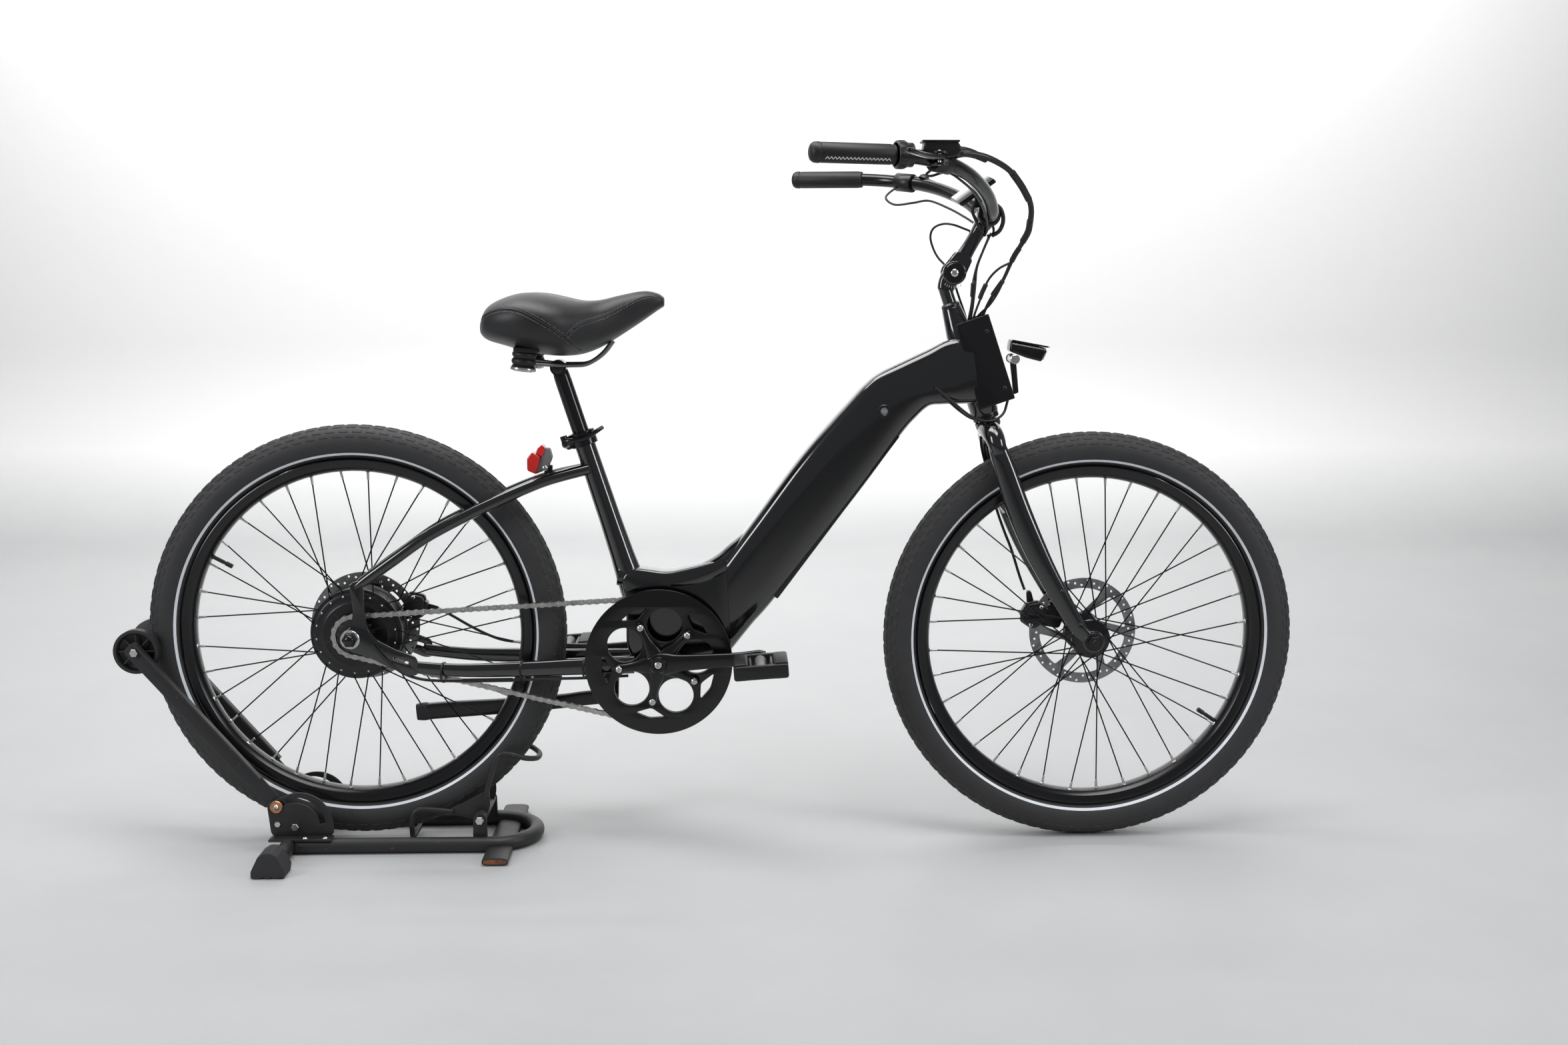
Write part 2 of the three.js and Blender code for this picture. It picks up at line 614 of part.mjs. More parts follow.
// ---------------------------------------------------------------- controller box and lights
const LIGHT_PIVOT = { x: 469, z: 799 };

function steerBlock(low, high, back, front, halfWidth) {
  const corner = (along, t) => {
    const [x, , z] = onSteerer(along, t);
    return [x, z];
  };
  return plate([corner(low, back), corner(low, front), corner(high, front), corner(high, back)],
    -halfWidth, halfWidth);
}

function controllerBox() {
  const block = steerBlock(BOX_LOW, BOX_HIGH, BOX_BACK, BOX_FRONT, BOX_HALF_WIDTH);
  const inside = steerBlock(BOX_LOW + BOX_WALL, BOX_HIGH + 10, BOX_BACK + 12, BOX_FRONT - BOX_WALL,
    BOX_HALF_WIDTH - BOX_WALL);
  const bracket = join(
    plate([[463, 740], [471, 742], [475, 800], [464, 800], [460, 762]], -4, 4),
    rodY(7, -4, 4, LIGHT_PIVOT, 12),
  );
  const pin = rodY(2.5 + GAP, -20, 20, LIGHT_PIVOT, 12);
  return join(cut(block, inside, headCutter()), cut(bracket, pin));
}

function headlight() {
  const nose = new THREE.CylinderGeometry(13, 11, 56, 20);
  nose.rotateZ(-Math.PI / 2 - radians(11)).translate(492, 0, 818);
  const ears = [-1, 1].map((side) =>
    plate([[463, 797], [470, 792], [478, 800], [478, 816], [463, 816]], side * (4 + GAP), side * 8));
  return join(solid(nose), ...ears, rodY(2.5, -8, 8, LIGHT_PIVOT, 12));
}

function rearLight() {
  const housing = plate([[-306, 613], [-286, 622], [-284, 655], [-296, 662], [-321, 640], [-320, 618]],
    -19, 19, 3);
  const strap = plate([[-318, 604], [-306, 604], [-300, 622], [-312, 622]], -7, 7);
  return cut(join(housing, strap), rodY(6 + GAP, -60, 60, { x: -312, z: 597 }, 12));
}

piece("controller_box", controllerBox(), PLASTIC());
piece("headlight", headlight(), PLASTIC());
piece("rear_light", rearLight(), RED_LENS());

// ---------------------------------------------------------------- brakes
function caliper(at, low, high, discY, armHole) {
  const half = { x: 22, z: 24 };
  const block = plate([[at.x - half.x, at.z - half.z], [at.x + half.x, at.z - half.z],
    [at.x + half.x, at.z + half.z], [at.x - half.x, at.z + half.z]], low, high, 3);
  const slot = rodY(ROTOR_RADIUS + 3, discY - 2.2, discY + 2.2, armHole.disc, 48);
  return join(cut(block, slot), rodY(4, high - 1, high + 6, at, 12));
}

function caliperArm(at, y, reach) {
  const [dx, dz] = reach;
  const length = Math.hypot(dx, dz);
  const side = { x: (-dz / length) * 5, z: (dx / length) * 5 };
  const web = plate([[at.x + side.x, at.z + side.z], [at.x + dx + side.x, at.z + dz + side.z],
    [at.x + dx - side.x, at.z + dz - side.z], [at.x - side.x, at.z - side.z]], y, y + 3);
  const boss = rodY(9, y, y + 3, at, 16);
  return cut(join(web, boss), rodY(4 + GAP, y - 5, y + 8, at, 12));
}

const REAR_CALIPER = { x: REAR_AXLE.x + 82, z: REAR_AXLE.z + 30 };
const FRONT_CALIPER = { x: FRONT_AXLE.x - 83, z: FRONT_AXLE.z + 28 };
piece("rear_caliper", caliper(REAR_CALIPER, 40, 63, REAR_ROTOR_Y, { disc: REAR_AXLE }), SATIN_BLACK());
piece("front_caliper", caliper(FRONT_CALIPER, 29, 52, FRONT_ROTOR_Y, { disc: FRONT_AXLE }),
  SATIN_BLACK());
piece("rear_caliper_arm", caliperArm(REAR_CALIPER, 63 + GAP, [34, -6]), SATIN_BLACK());
piece("front_caliper_arm", caliperArm(FRONT_CALIPER, 52 + GAP, [-6, 34]), SATIN_BLACK());

// ---------------------------------------------------------------- kickstand
function kickstand() {
  const root = rodY(15, 40 + GAP, 56, KICKSTAND_PIVOT, 12);
  const leg = ovalTube([[-196, 49, 230, 24, 13], [-280, 59, 219, 24, 14], [-380, 68, 209, 26, 14],
    [-460, 74, 203, 28, 15], [-524, 78, 197, 28, 16]], 8);
  const pinHole = rodY(5 + GAP, 40, 80, KICKSTAND_PIVOT, 12);
  return cut(join(root, leg), pinHole);
}
piece("kickstand", kickstand(), SATIN_BLACK());

// ---------------------------------------------------------------- seat
const CLAMP_LOW = 660;
const CLAMP_HIGH = 682;
const LEVER_PIVOT = onSeatLine(671, -12);

function seatClamp() {
  const ring = seatRod(22, CLAMP_LOW, CLAMP_HIGH);
  const [x] = onSeatLine(671);
  const ears = plate([[x - 34, 661], [x - 14, 661], [x - 14, 675], [x - 34, 675]], -9, 9);
  return cut(join(ring, ears), seatRod(SEAT_TUBE_RADIUS + GAP, 600, SEAT_TUBE_TOP + GAP),
    seatRod(SEATPOST_RADIUS + GAP, 600, 720));
}

// A cam lever: a drum parallel to the seat tube, and a blade that lies along the collar.
const CAM = { x: LEVER_PIVOT[0] - 28, y: -15.6, z: LEVER_PIVOT[2] - 3 };
function seatClampLever() {
  const [x, , z] = LEVER_PIVOT;
  const drum = rodBetween([CAM.x + 3, CAM.y, CAM.z - 9], [CAM.x - 3, CAM.y, CAM.z + 8], 5.8, 5.8, 12);
  const blade = plate([[x - 32, z - 7], [x + 34, z + 4], [x + 34, z + 12], [x - 32, z + 4]], -23, -27.5);
  const web = plate([[x - 32, z - 8], [x - 25, z - 8], [x - 25, z + 3], [x - 32, z + 2]], -15, -25);
  return join(drum, blade, web);
}

function seatpost() {
  const post = seatRod(SEATPOST_RADIUS, 560, SEATPOST_TOP - 6);
  const [x] = onSeatLine(SEATPOST_TOP);
  return join(post, rodY(13, -17, 17, { x, z: SEATPOST_TOP + 2 }));
}

// Stations along the saddle: [x, top, bottom, half width].
const SADDLE = [[-384, 862, 838, 52], [-372, 884, 833, 88], [-350, 900, 826, 108], [-318, 909, 816, 120],
  [-285, 908, 811, 121], [-255, 902, 809, 110], [-226, 896, 813, 84], [-197, 897, 822, 58],
  [-165, 904, 840, 42], [-130, 910, 862, 33], [-107, 906, 878, 24], [-95, 896, 885, 12]];

function saddleCushion() {
  const sides = 16;
  return loft(SADDLE.map(([x, top, bottom, half]) => {
    const middle = bottom + (top - bottom) * 0.4;
    return Array.from({ length: sides }, (_, i) => {
      const angle = (2 * Math.PI * i) / sides;
      const up = Math.sin(angle);
      const tall = up > 0 ? top - middle : middle - bottom;
      const y = half * Math.sign(Math.cos(angle)) * Math.abs(Math.cos(angle)) ** 0.75;
      return [x, y, middle + tall * Math.sign(up) * Math.abs(up) ** 0.8];
    });
  }));
}

const RAIL_Y = 22;
function saddleRails() {
  const rail = sweep([[-326, -46, 803], [-312, -34, 796], [-290, -RAIL_Y, 792], [-240, -RAIL_Y, 790],
    [-205, -RAIL_Y, 792], [-176, -16, 808], [-164, 0, 820], [-176, 16, 808], [-205, RAIL_Y, 792],
    [-240, RAIL_Y, 790], [-290, RAIL_Y, 792], [-312, 34, 796], [-326, 46, 803]], 3.5, 24, 6);
  const rearBar = rodY(5, -62, 62, { x: -328, z: 801 }, 12);
  const springs = [-1, 1].map((side) => rodBetween([-322, side * 62, 782], [-325, side * 62, 812],
    19, 21, 14));
  return cut(join(rail, rearBar, ...springs), saddleCushion());
}

piece("seat_clamp", seatClamp(), GLOSS_PAINT());
piece("seat_clamp_lever", seatClampLever(), GLOSS_PAINT());
piece("seatpost", seatpost(), SATIN_BLACK());
piece("saddle_cushion", saddleCushion(), LEATHERETTE());
piece("saddle_rails", saddleRails().translate([0, 0, -GAP]), STEEL());

// ---------------------------------------------------------------- fork
function fork() {
  const arch = sweep([[441, -50, 652], [436, -47, 668], [432, -26, 680], [430, 0, 683],
    [432, 26, 680], [436, 47, 668], [441, 50, 652]], 15, 12, 8);
  const steerer = cut(steerRod(STEERER_RADIUS, -10, CAP_HIGH - 6), steerRod(STEERER_BORE, 30, 220));
  const blade = ovalTube([[440, -50, 656, 31, 22], [452, -50.5, 622, 34, 22], [474.5, -51.5, 558, 40, 22],
    [498, -53, 503, 38, 20], [521.5, -54, 456, 34, 18], [551, -54.5, 404, 30, 15],
    [575.5, -54.5, 363, 26, 12], [594, -54, 345, 22, 7]], 10);
  const end = rodY(15, -FRONT_DROPOUT, -FRONT_DROPOUT - DROPOUT_THICKNESS, FRONT_AXLE, 20);
  const axleHole = rodY(AXLE_RADIUS + GAP, -100, 100, FRONT_AXLE);
  const blades = [join(blade, end), mirrored(join(blade, end))];
  return cut(join(arch, steerer, ...blades), axleHole);
}
piece("fork", fork(), GLOSS_PAINT());

// ---------------------------------------------------------------- stem and handlebar
function stemBase() {
  const quill = steerRod(QUILL_RADIUS, 60, 214);
  const neck = rodBetween(onSteerer(196), [365, 0, 922], QUILL_RADIUS, 10.8, 14);
  const knuckle = rodY(17, -11, 11, STEM_PIVOT);
  return join(quill, neck, knuckle);
}

function stemArm() {
  const toBar = Math.atan2(BAR.z - STEM_PIVOT.z, BAR.x - STEM_PIVOT.x);
  const point = (along, side) => [
    STEM_PIVOT.x + along * Math.cos(toBar) - side * Math.sin(toBar),
    STEM_PIVOT.z + along * Math.sin(toBar) + side * Math.cos(toBar),
  ];
  const cheeks = [-1, 1].map((side) => join(
    rodY(19, side * (11 + GAP), side * 19, STEM_PIVOT),
    plate([point(0, -15), point(46, -13), point(46, 13), point(0, 15)], side * (11 + GAP), side * 19),
  ));
  const beam = plate([point(26, -13), point(96, -12), point(96, 12), point(26, 13)], -17, 17, 5);
  const clamp = rodY(18, -22, 22, BAR);
  const knuckleRoom = rodY(17 + GAP, -11 - GAP, 11 + GAP, STEM_PIVOT);
  const bolt = rodY(5, -19, 19, STEM_PIVOT, 12);
  const body = cut(join(beam, clamp, ...cheeks), knuckleRoom, rodY(BAR_RADIUS + 2 + GAP, -60, 60, BAR));
  return { body, bolt };
}

const BAR_PATH = [[424, -22, 1028], [422, -58, 1033], [409, -105, 1052], [388, -155, 1069],
  [362, -205, 1083], [330, -250, 1093], [290, -283, 1099], [245, -303, 1102.5], [185, -320, 1103.5],
  [124, -335, 1103.5]];

function handlebar() {
  const half = sweep([[424, -14, 1028], ...BAR_PATH], BAR_RADIUS, 18, 8);
  const middle = rodY(BAR_RADIUS + 2, -30, 30, BAR, 16);
  return join(middle, half, mirrored(half));
}

const gripBack = [121, -336, 1103.5];
const gripFront = [246, -302.6, 1102.5];
const gripPoint = (t, side = -1) => [
  gripBack[0] + (gripFront[0] - gripBack[0]) * t,
  -side * (gripBack[1] + (gripFront[1] - gripBack[1]) * t),
  gripBack[2] + (gripFront[2] - gripBack[2]) * t,
];

function grip(side) {
  const body = rodBetween(gripPoint(0, side), gripPoint(0.98, side), GRIP_RADIUS, GRIP_RADIUS, 14);
  return cut(body, handlebarCutter);
}

const handlebarCutter = (() => {
  const half = sweep([[424, -14, 1028], ...BAR_PATH], BAR_RADIUS + 2 * GAP, 18, 8);
  const ends = rodBetween(gripPoint(0.02), gripPoint(1.05), BAR_RADIUS + 1, BAR_RADIUS + 1, 10);
  const right = join(half, ends);
  return join(right, mirrored(right));
})();

function throttle() {
  const collar = rodBetween(gripPoint(1), gripPoint(1.2), 20, 20, 18);
  return cut(collar,
    rodBetween(gripPoint(0.95), gripPoint(1.25), BAR_RADIUS + 5.4, BAR_RADIUS + 5.4, 18));
}

const LEVER_HINGE = [310, -296, 1099];
function brakeLever() {
  const boss = rodBetween([310, -296, 1095], [310, -296, 1103], 7, 7, 12);
  const blade = loft([[308, -298, 10, 4], [296, -322, 9, 4], [278, -356, 8, 4], [262, -388, 9, 4]].map(
    ([x, y, wide, thick]) => [[x - wide, y + 4, 1099 - thick], [x, y - 4, 1099 - thick],
      [x, y - 4, 1099 + thick], [x - wide, y + 4, 1099 + thick]]));
  return cut(join(boss, blade),
    rodBetween([310, -296, 1080], [310, -296, 1120], 3 + GAP, 3 + GAP, 10));
}

function controlPod() {
  const bandStart = [330, -250, 1093];
  const bandEnd = [304, -271.5, 1096.8];
  const clamp = rodBetween(bandStart, bandEnd, 16, 16, 14);
  const cover = plate([[288, 1112], [292, 1124], [336, 1123], [343, 1112], [334, 1106], [296, 1106]],
    -292, -252, 3);
  const pin = rodBetween([310, -296, 1089], [310, -296, 1108], 3, 3, 8);
  const ears = [1088, 1104.5].map((z) => rodBetween([311, -290, z], [311, -290, z + 4], 12, 12, 12));
  const back = rodBetween([312, -282, 1088], [312, -282, 1108], 5, 5, 10);
  return cut(join(clamp, cover, pin, ...ears, back), handlebarCutter,
    rodBetween([338, -243.4, 1092], [294, -279.8, 1098.3], BAR_RADIUS + 1.5, BAR_RADIUS + 1.5, 12));
}

function display() {
  const face = plate([[369, 1052], [376, 1046], [431, 1085], [424, 1092]], -31, 31, 2);
  const post = plate([[402, 1066], [410, 1072], [412, 1056], [404, 1052]], -6, 6);
  return join(face, post, rodY(5, -6, 6, { x: 408, z: 1053 }, 12));
}

const stem = stemArm();
const displayMount = cut(
  join(plate([[402, 1042], [414, 1044], [413, 1054], [403, 1053]], 6 + GAP, 10),
    plate([[402, 1042], [414, 1044], [413, 1054], [403, 1053]], -10, -6 - GAP),
    plate([[402, 1040], [420, 1040], [416, 1046], [402, 1045]], -10, 10)),
  rodY(BAR_RADIUS + 2 + GAP, -60, 60, BAR),
);
const stemBore = rodY(5 + GAP, -40, 40, STEM_PIVOT, 12);
piece("stem_base", cut(stemBase(), stemBore), GLOSS_PAINT());
piece("stem_arm", join(stem.body, stem.bolt, displayMount), GLOSS_PAINT());
piece("handlebar", handlebar(), GLOSS_PAINT());
piece("right_grip", grip(-1), SOFT_GRIP());
piece("left_grip", grip(1), SOFT_GRIP());
piece("throttle", throttle(), PLASTIC());
piece("control_pod", controlPod(), PLASTIC());
piece("right_brake_lever", brakeLever(), SATIN_BLACK());
piece("left_brake_lever", mirrored(brakeLever()), SATIN_BLACK());
piece("left_lever_mount", mirrored(cut(controlPod(), plate([[270, 1111.5], [350, 1111.5], [350, 1140],
  [270, 1140]], -320, -240))), PLASTIC());
piece("display", display(), PLASTIC());

// ---------------------------------------------------------------- cables
piece("control_harness", sweep([[343, -272, 1106], [374, -256, 1104], [405, -232, 1085],
  [437, -200, 1051], [450, -165, 1010], [452, -128, 972], [447, -95, 940], [438, -62, 912],
  [424, -34, 896], [414, -14, 876], [420, -4, 846]], 4, 20, 6), RUBBER());
piece("front_brake_cable", sweep([[400, 24, 707], [396, 34, 690], [408, 46, 660], [424, 62, 600],
  [452, 69, 540], [478, 69, 480], [498, 66, 430], [511, 60, 406]], 2.5, 14, 6), RUBBER());

// ---------------------------------------------------------------- floor stand
const angleOf = (degrees, r) => [STAND_PIVOT.x + r * Math.cos(radians(degrees)),
  STAND_PIVOT.z + r * Math.sin(radians(degrees))];
const LOCK_RADIUS = 45;

function standBase() {
  const r = STAND_TUBE_RADIUS;
  const bendX = -390;
  const turn = (degrees) => [
    bendX + STAND_LEG_Y * Math.cos(radians(degrees)), STAND_LEG_Y * Math.sin(radians(degrees)), r,
  ];
  const bend = sweep([-90, -60, -30, 0, 30, 60, 90].map(turn), r, 10, 10);
  const legs = [-1, 1].map((side) =>
    rodBetween([bendX + 3, side * STAND_LEG_Y, r], [-712, side * STAND_LEG_Y, r], r, r, 10));
  const hairpin = join(bend, ...legs);
  const rearTube = rodY(r, -165, 165, { x: -712, z: r + 2 }, 12);
  const crossbar = cut(
    plate([[-386, 1], [-352, 1], [-348, 5], [-348, 9], [-352, 13], [-386, 13], [-390, 9], [-390, 5]],
      -145, 145),
    plate([[-385, 3], [-353, 3], [-353, 11], [-385, 11]], -146, -95),
    plate([[-385, 3], [-353, 3], [-353, 11], [-385, 11]], 95, 146),
  );
  const ear = [-1, 1].map((side) => plate([[-414, 16], [-392, 16], [-392, 56], [-397, 63], [-409, 63],
    [-414, 56]], side * 60, side * 64));
  const shaft = rodY(6, -69, 69, CRADLE_PIVOT, 16);
  return join(hairpin, rearTube, crossbar, ...ear, shaft, standPlate(-1), standPlate(1));
}

function standFoot(side) {
  const block = plate([[-742, 0], [-690, 0], [-688, 12], [-699, 36], [-708, 42], [-719, 42],
    [-729, 36], [-741, 12]], side * 150, side * 196);
  return cut(block, rodY(STAND_TUBE_RADIUS + GAP, -165 - GAP, 165 + GAP, { x: -712, z: 14.5 }, 12));
}

// The bracket on each leg: pivot hole, arc slot for the lock bolt, and a foot flange.
function standPlate(side) {
  const outer = side * (PLATE_Y + 3);
  const web = plate([[-742, 26], [-641, 26], [-640, 48], [-648, 72], [-664, 90], [-684, 99],
    [-706, 99], [-728, 90], [-748, 82]], side * PLATE_Y, outer);
  const flange = plate([[-742, 23], [-641, 23], [-641, 27], [-742, 27]], side * PLATE_Y, side * 84);
  const arc = Array.from({ length: 12 }, (_, i) => angleOf(144 - 12.5 * i, LOCK_RADIUS + 4.6));
  const back = Array.from({ length: 12 }, (_, i) => angleOf(6.5 + 12.5 * i, LOCK_RADIUS - 4.6));
  const slot = plate([...arc, ...back], -100, 100);
  const pivot = rodY(5 + GAP, -100, 100, STAND_PIVOT, 12);
  return cut(join(web, flange), slot, pivot);
}

// Both angle-iron arms with the roller axle, the pivot stubs and the lock bolts.
function standArm() {
  const dx = ROLLER.x - STAND_PIVOT.x;
  const dz = ROLLER.z - STAND_PIVOT.z;
  const length = Math.hypot(dx, dz);
  const along = { x: dx / length, z: dz / length };
  const point = (t, side) => [
    STAND_PIVOT.x + along.x * t - along.z * side,
    STAND_PIVOT.z + along.z * t + along.x * side,
  ];
  const lock = { x: point(LOCK_RADIUS, 0)[0], z: point(LOCK_RADIUS, 0)[1] };
  const parts = [-1, 1].flatMap((side) => [
    plate([point(-12, -12), point(length + 14, -14), point(length + 14, 14), point(-12, 12)],
      side * ARM_Y, side * (ARM_Y + 3.5)),
    plate([point(96, -14), point(length + 14, -14), point(length + 14, -10.5), point(96, -10.5)],
      side * (ARM_Y + 2), side * (ARM_Y + 15)),
    rodY(5, side * (ARM_Y + 1), side * 70, STAND_PIVOT, 12),
    rodY(4, side * (ARM_Y + 1), side * 71, lock, 12),
    rodY(8, side * (PLATE_Y + 3 + GAP), side * 71, lock, 16),
  ]);
  return join(rodY(ROLLER_AXLE_RADIUS, -ARM_Y - 10, ARM_Y + 10, ROLLER, 12), ...parts);
}

function roller() {
  const bore = ROLLER_AXLE_RADIUS + GAP;
  const core = bore + 2;
  const half = ARM_Y - 1.5;
  const r = ROLLER_RADIUS;
  const side = [[core, 30], [20, 31.5], [r, 37], [r, half], [r - 5, half], [r - 7, 41], [9, 39],
    [9, half], [bore, half]];
  return turned([...side.map(([a, y]) => [a, -y]).reverse(), ...side], ROLLER, 20);
}

// The rocker that the wheel rolls into: a sleeve, two gussets and two wire hoops.
function cradle() {
  const sleeve = rodY(10, -57, 57, CRADLE_PIVOT, 16);
  const gusset = plate([[-396, 44], [-390, 92], [-398, 92], [-456, 62], [-452, 54], [-410, 42]], -39.5, -36);
  const lower = sweep([[-450, -40, 58], [-492, -40, 62], [-510, -40, 60], [-517, -40, 48],
    [-518, -39, 28], [-518, -32, 14], [-518, 0, 12], [-518, 32, 14], [-518, 39, 28], [-517, 40, 48],
    [-510, 40, 60], [-492, 40, 62], [-450, 40, 58]], 4.5, 24, 6);
  const upper = sweep([[-396, -40, 84], [-388, -40, 116], [-379, -41, 142], [-370, -42, 155],
    [-350, -42, 154], [-330, -37, 147], [-315, -20, 142], [-311, 0, 141], [-315, 20, 142],
    [-330, 37, 147], [-350, 42, 154], [-370, 42, 155], [-379, 41, 142], [-388, 40, 116],
    [-396, 40, 84]], 4.5, 24, 6);
  return cut(join(sleeve, gusset, mirrored(gusset), lower, upper),
    rodY(6 + GAP, -80, 80, CRADLE_PIVOT, 16));
}

piece("stand_base", standBase(), STAND_PAINT());
piece("stand_foot_right", standFoot(-1), RUBBER());
piece("stand_foot_left", standFoot(1), RUBBER());
piece("stand_arm", standArm(), STAND_PAINT());
piece("stand_roller", roller(), PLASTIC());
piece("stand_cradle", cradle(), STAND_PAINT());

// The origin is on the floor, midway between the roller's back edge and the front tyre's edge.
const frontEdge = FRONT_AXLE.x + TYRE_RADIUS;
const backEdge = ROLLER.x - ROLLER_RADIUS;
bike.position.x = -(frontEdge + backEdge) / 2;

export default bike;
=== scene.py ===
# %% [markdown]
# # A step-through electric bicycle on a floor stand
#
# The imported model holds the true sizes, the moving bodies and where each one sits. This
# script dresses it: every visible piece gets a smooth mesh and a finish. We load the
# frame first. The dressed bicycle has to stay inside it.

# %% Load the fixed frame
import math

import bmesh
import bpy
from mathutils import Matrix, Vector


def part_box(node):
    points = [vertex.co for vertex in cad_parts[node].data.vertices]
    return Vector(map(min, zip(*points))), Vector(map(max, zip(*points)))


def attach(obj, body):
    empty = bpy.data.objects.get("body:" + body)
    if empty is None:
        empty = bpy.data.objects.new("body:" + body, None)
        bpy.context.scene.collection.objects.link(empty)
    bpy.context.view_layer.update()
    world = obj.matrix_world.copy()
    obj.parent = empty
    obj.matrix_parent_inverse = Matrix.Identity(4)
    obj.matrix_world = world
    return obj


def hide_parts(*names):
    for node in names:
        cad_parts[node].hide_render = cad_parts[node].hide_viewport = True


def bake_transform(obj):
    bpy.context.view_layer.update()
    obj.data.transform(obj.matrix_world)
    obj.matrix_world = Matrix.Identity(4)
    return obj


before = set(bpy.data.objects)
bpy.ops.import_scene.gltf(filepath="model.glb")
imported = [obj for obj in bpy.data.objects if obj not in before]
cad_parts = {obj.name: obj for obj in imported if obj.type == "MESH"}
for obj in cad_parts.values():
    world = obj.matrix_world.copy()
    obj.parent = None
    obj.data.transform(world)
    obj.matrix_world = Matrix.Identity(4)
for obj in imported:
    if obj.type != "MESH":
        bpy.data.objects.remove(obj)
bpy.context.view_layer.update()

# %% [markdown]
# ## One set of measurements
#
# A maker measures a bicycle from its wheels, so all sizes below are in millimetres with
# x = 0 midway between the axles, y = 0 in the middle plane and z = 0 on the floor. The
# front axle's place in the frame says how far that lies from the frame's own origin.

# %% Millimetres to the frame's metres
MM = 0.001
WHEELBASE = 1202.6
TYRE_RADIUS = 340
REAR_LIFT = 14.8
FRONT_AXLE = Vector((WHEELBASE / 2, 0, TYRE_RADIUS))
REAR_AXLE = Vector((-WHEELBASE / 2, 0, TYRE_RADIUS + REAR_LIFT))
CRANK = Vector((-108.9, 0, 310))

axle_low, axle_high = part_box("front_axle")
SHIFT = (axle_low.x + axle_high.x) / 2 / MM - FRONT_AXLE.x


def place(point):
    """A point in millimetres as a place in the frame."""
    return Vector((point[0] + SHIFT, point[1], point[2])) * MM


print("shift", round(SHIFT, 3), "mm")

# %% [markdown]
# ## Camera and light
#
# The bicycle is seen square from its drive side by a camera at chest height that looks
# slightly down. The light is a bright room: a pale world, one broad lamp overhead that
# draws the long highlight on the gloss tubes, softer lamps from the front, and one that
# washes the far wall. The wall stands far enough back to leave room behind the bicycle.

# %% Camera
LENS = 39.566
CAMERA_YAW = 1.75
CAMERA_PITCH = -7.93

camera_data = bpy.data.cameras.new("camera")
camera_data.lens = LENS
camera_data.sensor_width = 36
camera_data.clip_end = 60
camera = bpy.data.objects.new("camera", camera_data)
camera.location = place((10.94, -2801.92, 921.75))
camera.rotation_euler = (math.radians(90 + CAMERA_PITCH), 0, math.radians(-CAMERA_YAW))
bpy.context.scene.collection.objects.link(camera)
bpy.context.scene.camera = camera


# %% Lamps and world
def lamp(name, place_m, aim_m, size, power, colour=(1, 1, 1)):
    data = bpy.data.lights.new(name, "AREA")
    data.shape = "RECTANGLE"
    data.size, data.size_y = size
    data.energy = power
    data.color = colour
    obj = bpy.data.objects.new(name, data)
    obj.location = place_m
    obj.rotation_euler = (Vector(aim_m) - Vector(place_m)).to_track_quat("-Z", "Y").to_euler()
    obj.visible_camera = False
    bpy.context.scene.collection.objects.link(obj)
    return obj


lamp("ceiling_lamp", (-0.2, -0.2, 3.0), (0, 0.1, 0.4), (3.6, 1.2), 92)
lamp("left_window", (-2.7, -1.7, 1.7), (0, 0, 0.6), (0.7, 1.6), 34, (0.97, 0.98, 1))
lamp("right_window", (2.7, -1.5, 1.6), (0.2, 0, 0.6), (0.6, 1.4), 24, (0.97, 0.98, 1))
lamp("wall_wash", (0, 2.3, 3.2), (0, 4.1, 0.8), (6.0, 0.5), 150)

world = bpy.data.worlds.new("room")
world.use_nodes = True
world.node_tree.nodes["Background"].inputs["Color"].default_value = (0.86, 0.88, 0.92, 1)
world.node_tree.nodes["Background"].inputs["Strength"].default_value = 0.26
bpy.context.scene.world = world
bpy.context.scene.view_settings.view_transform = "Standard"

# %% [markdown]
# ## Writing finishes as sums
#
# A finish is a small sum of noise and masks. Dragging nodes by hand hides the sum, so a
# wrapped socket lets us write it in Python: `0.2 + 0.1 * noise` adds the Math nodes.


# %% Finish helpers
class Value:
    """One number coming out of a node. Sums on it add Math nodes."""

    def __init__(self, finish, socket):
        self.finish, self.socket = finish, socket

    def sum_with(self, operation, first, second=None):
        inputs = [first] if second is None else [first, second]
        return self.finish.node("ShaderNodeMath", {"operation": operation}, *inputs)

    def __add__(self, other):
        return self.sum_with("ADD", self, other)

    def __radd__(self, other):
        return self.sum_with("ADD", other, self)

    def __sub__(self, other):
        return self.sum_with("SUBTRACT", self, other)

    def __rsub__(self, other):
        return self.sum_with("SUBTRACT", other, self)

    def __mul__(self, other):
        return self.sum_with("MULTIPLY", self, other)

    def __rmul__(self, other):
        return self.sum_with("MULTIPLY", other, self)

    def __truediv__(self, other):
        return self.sum_with("DIVIDE", self, other)


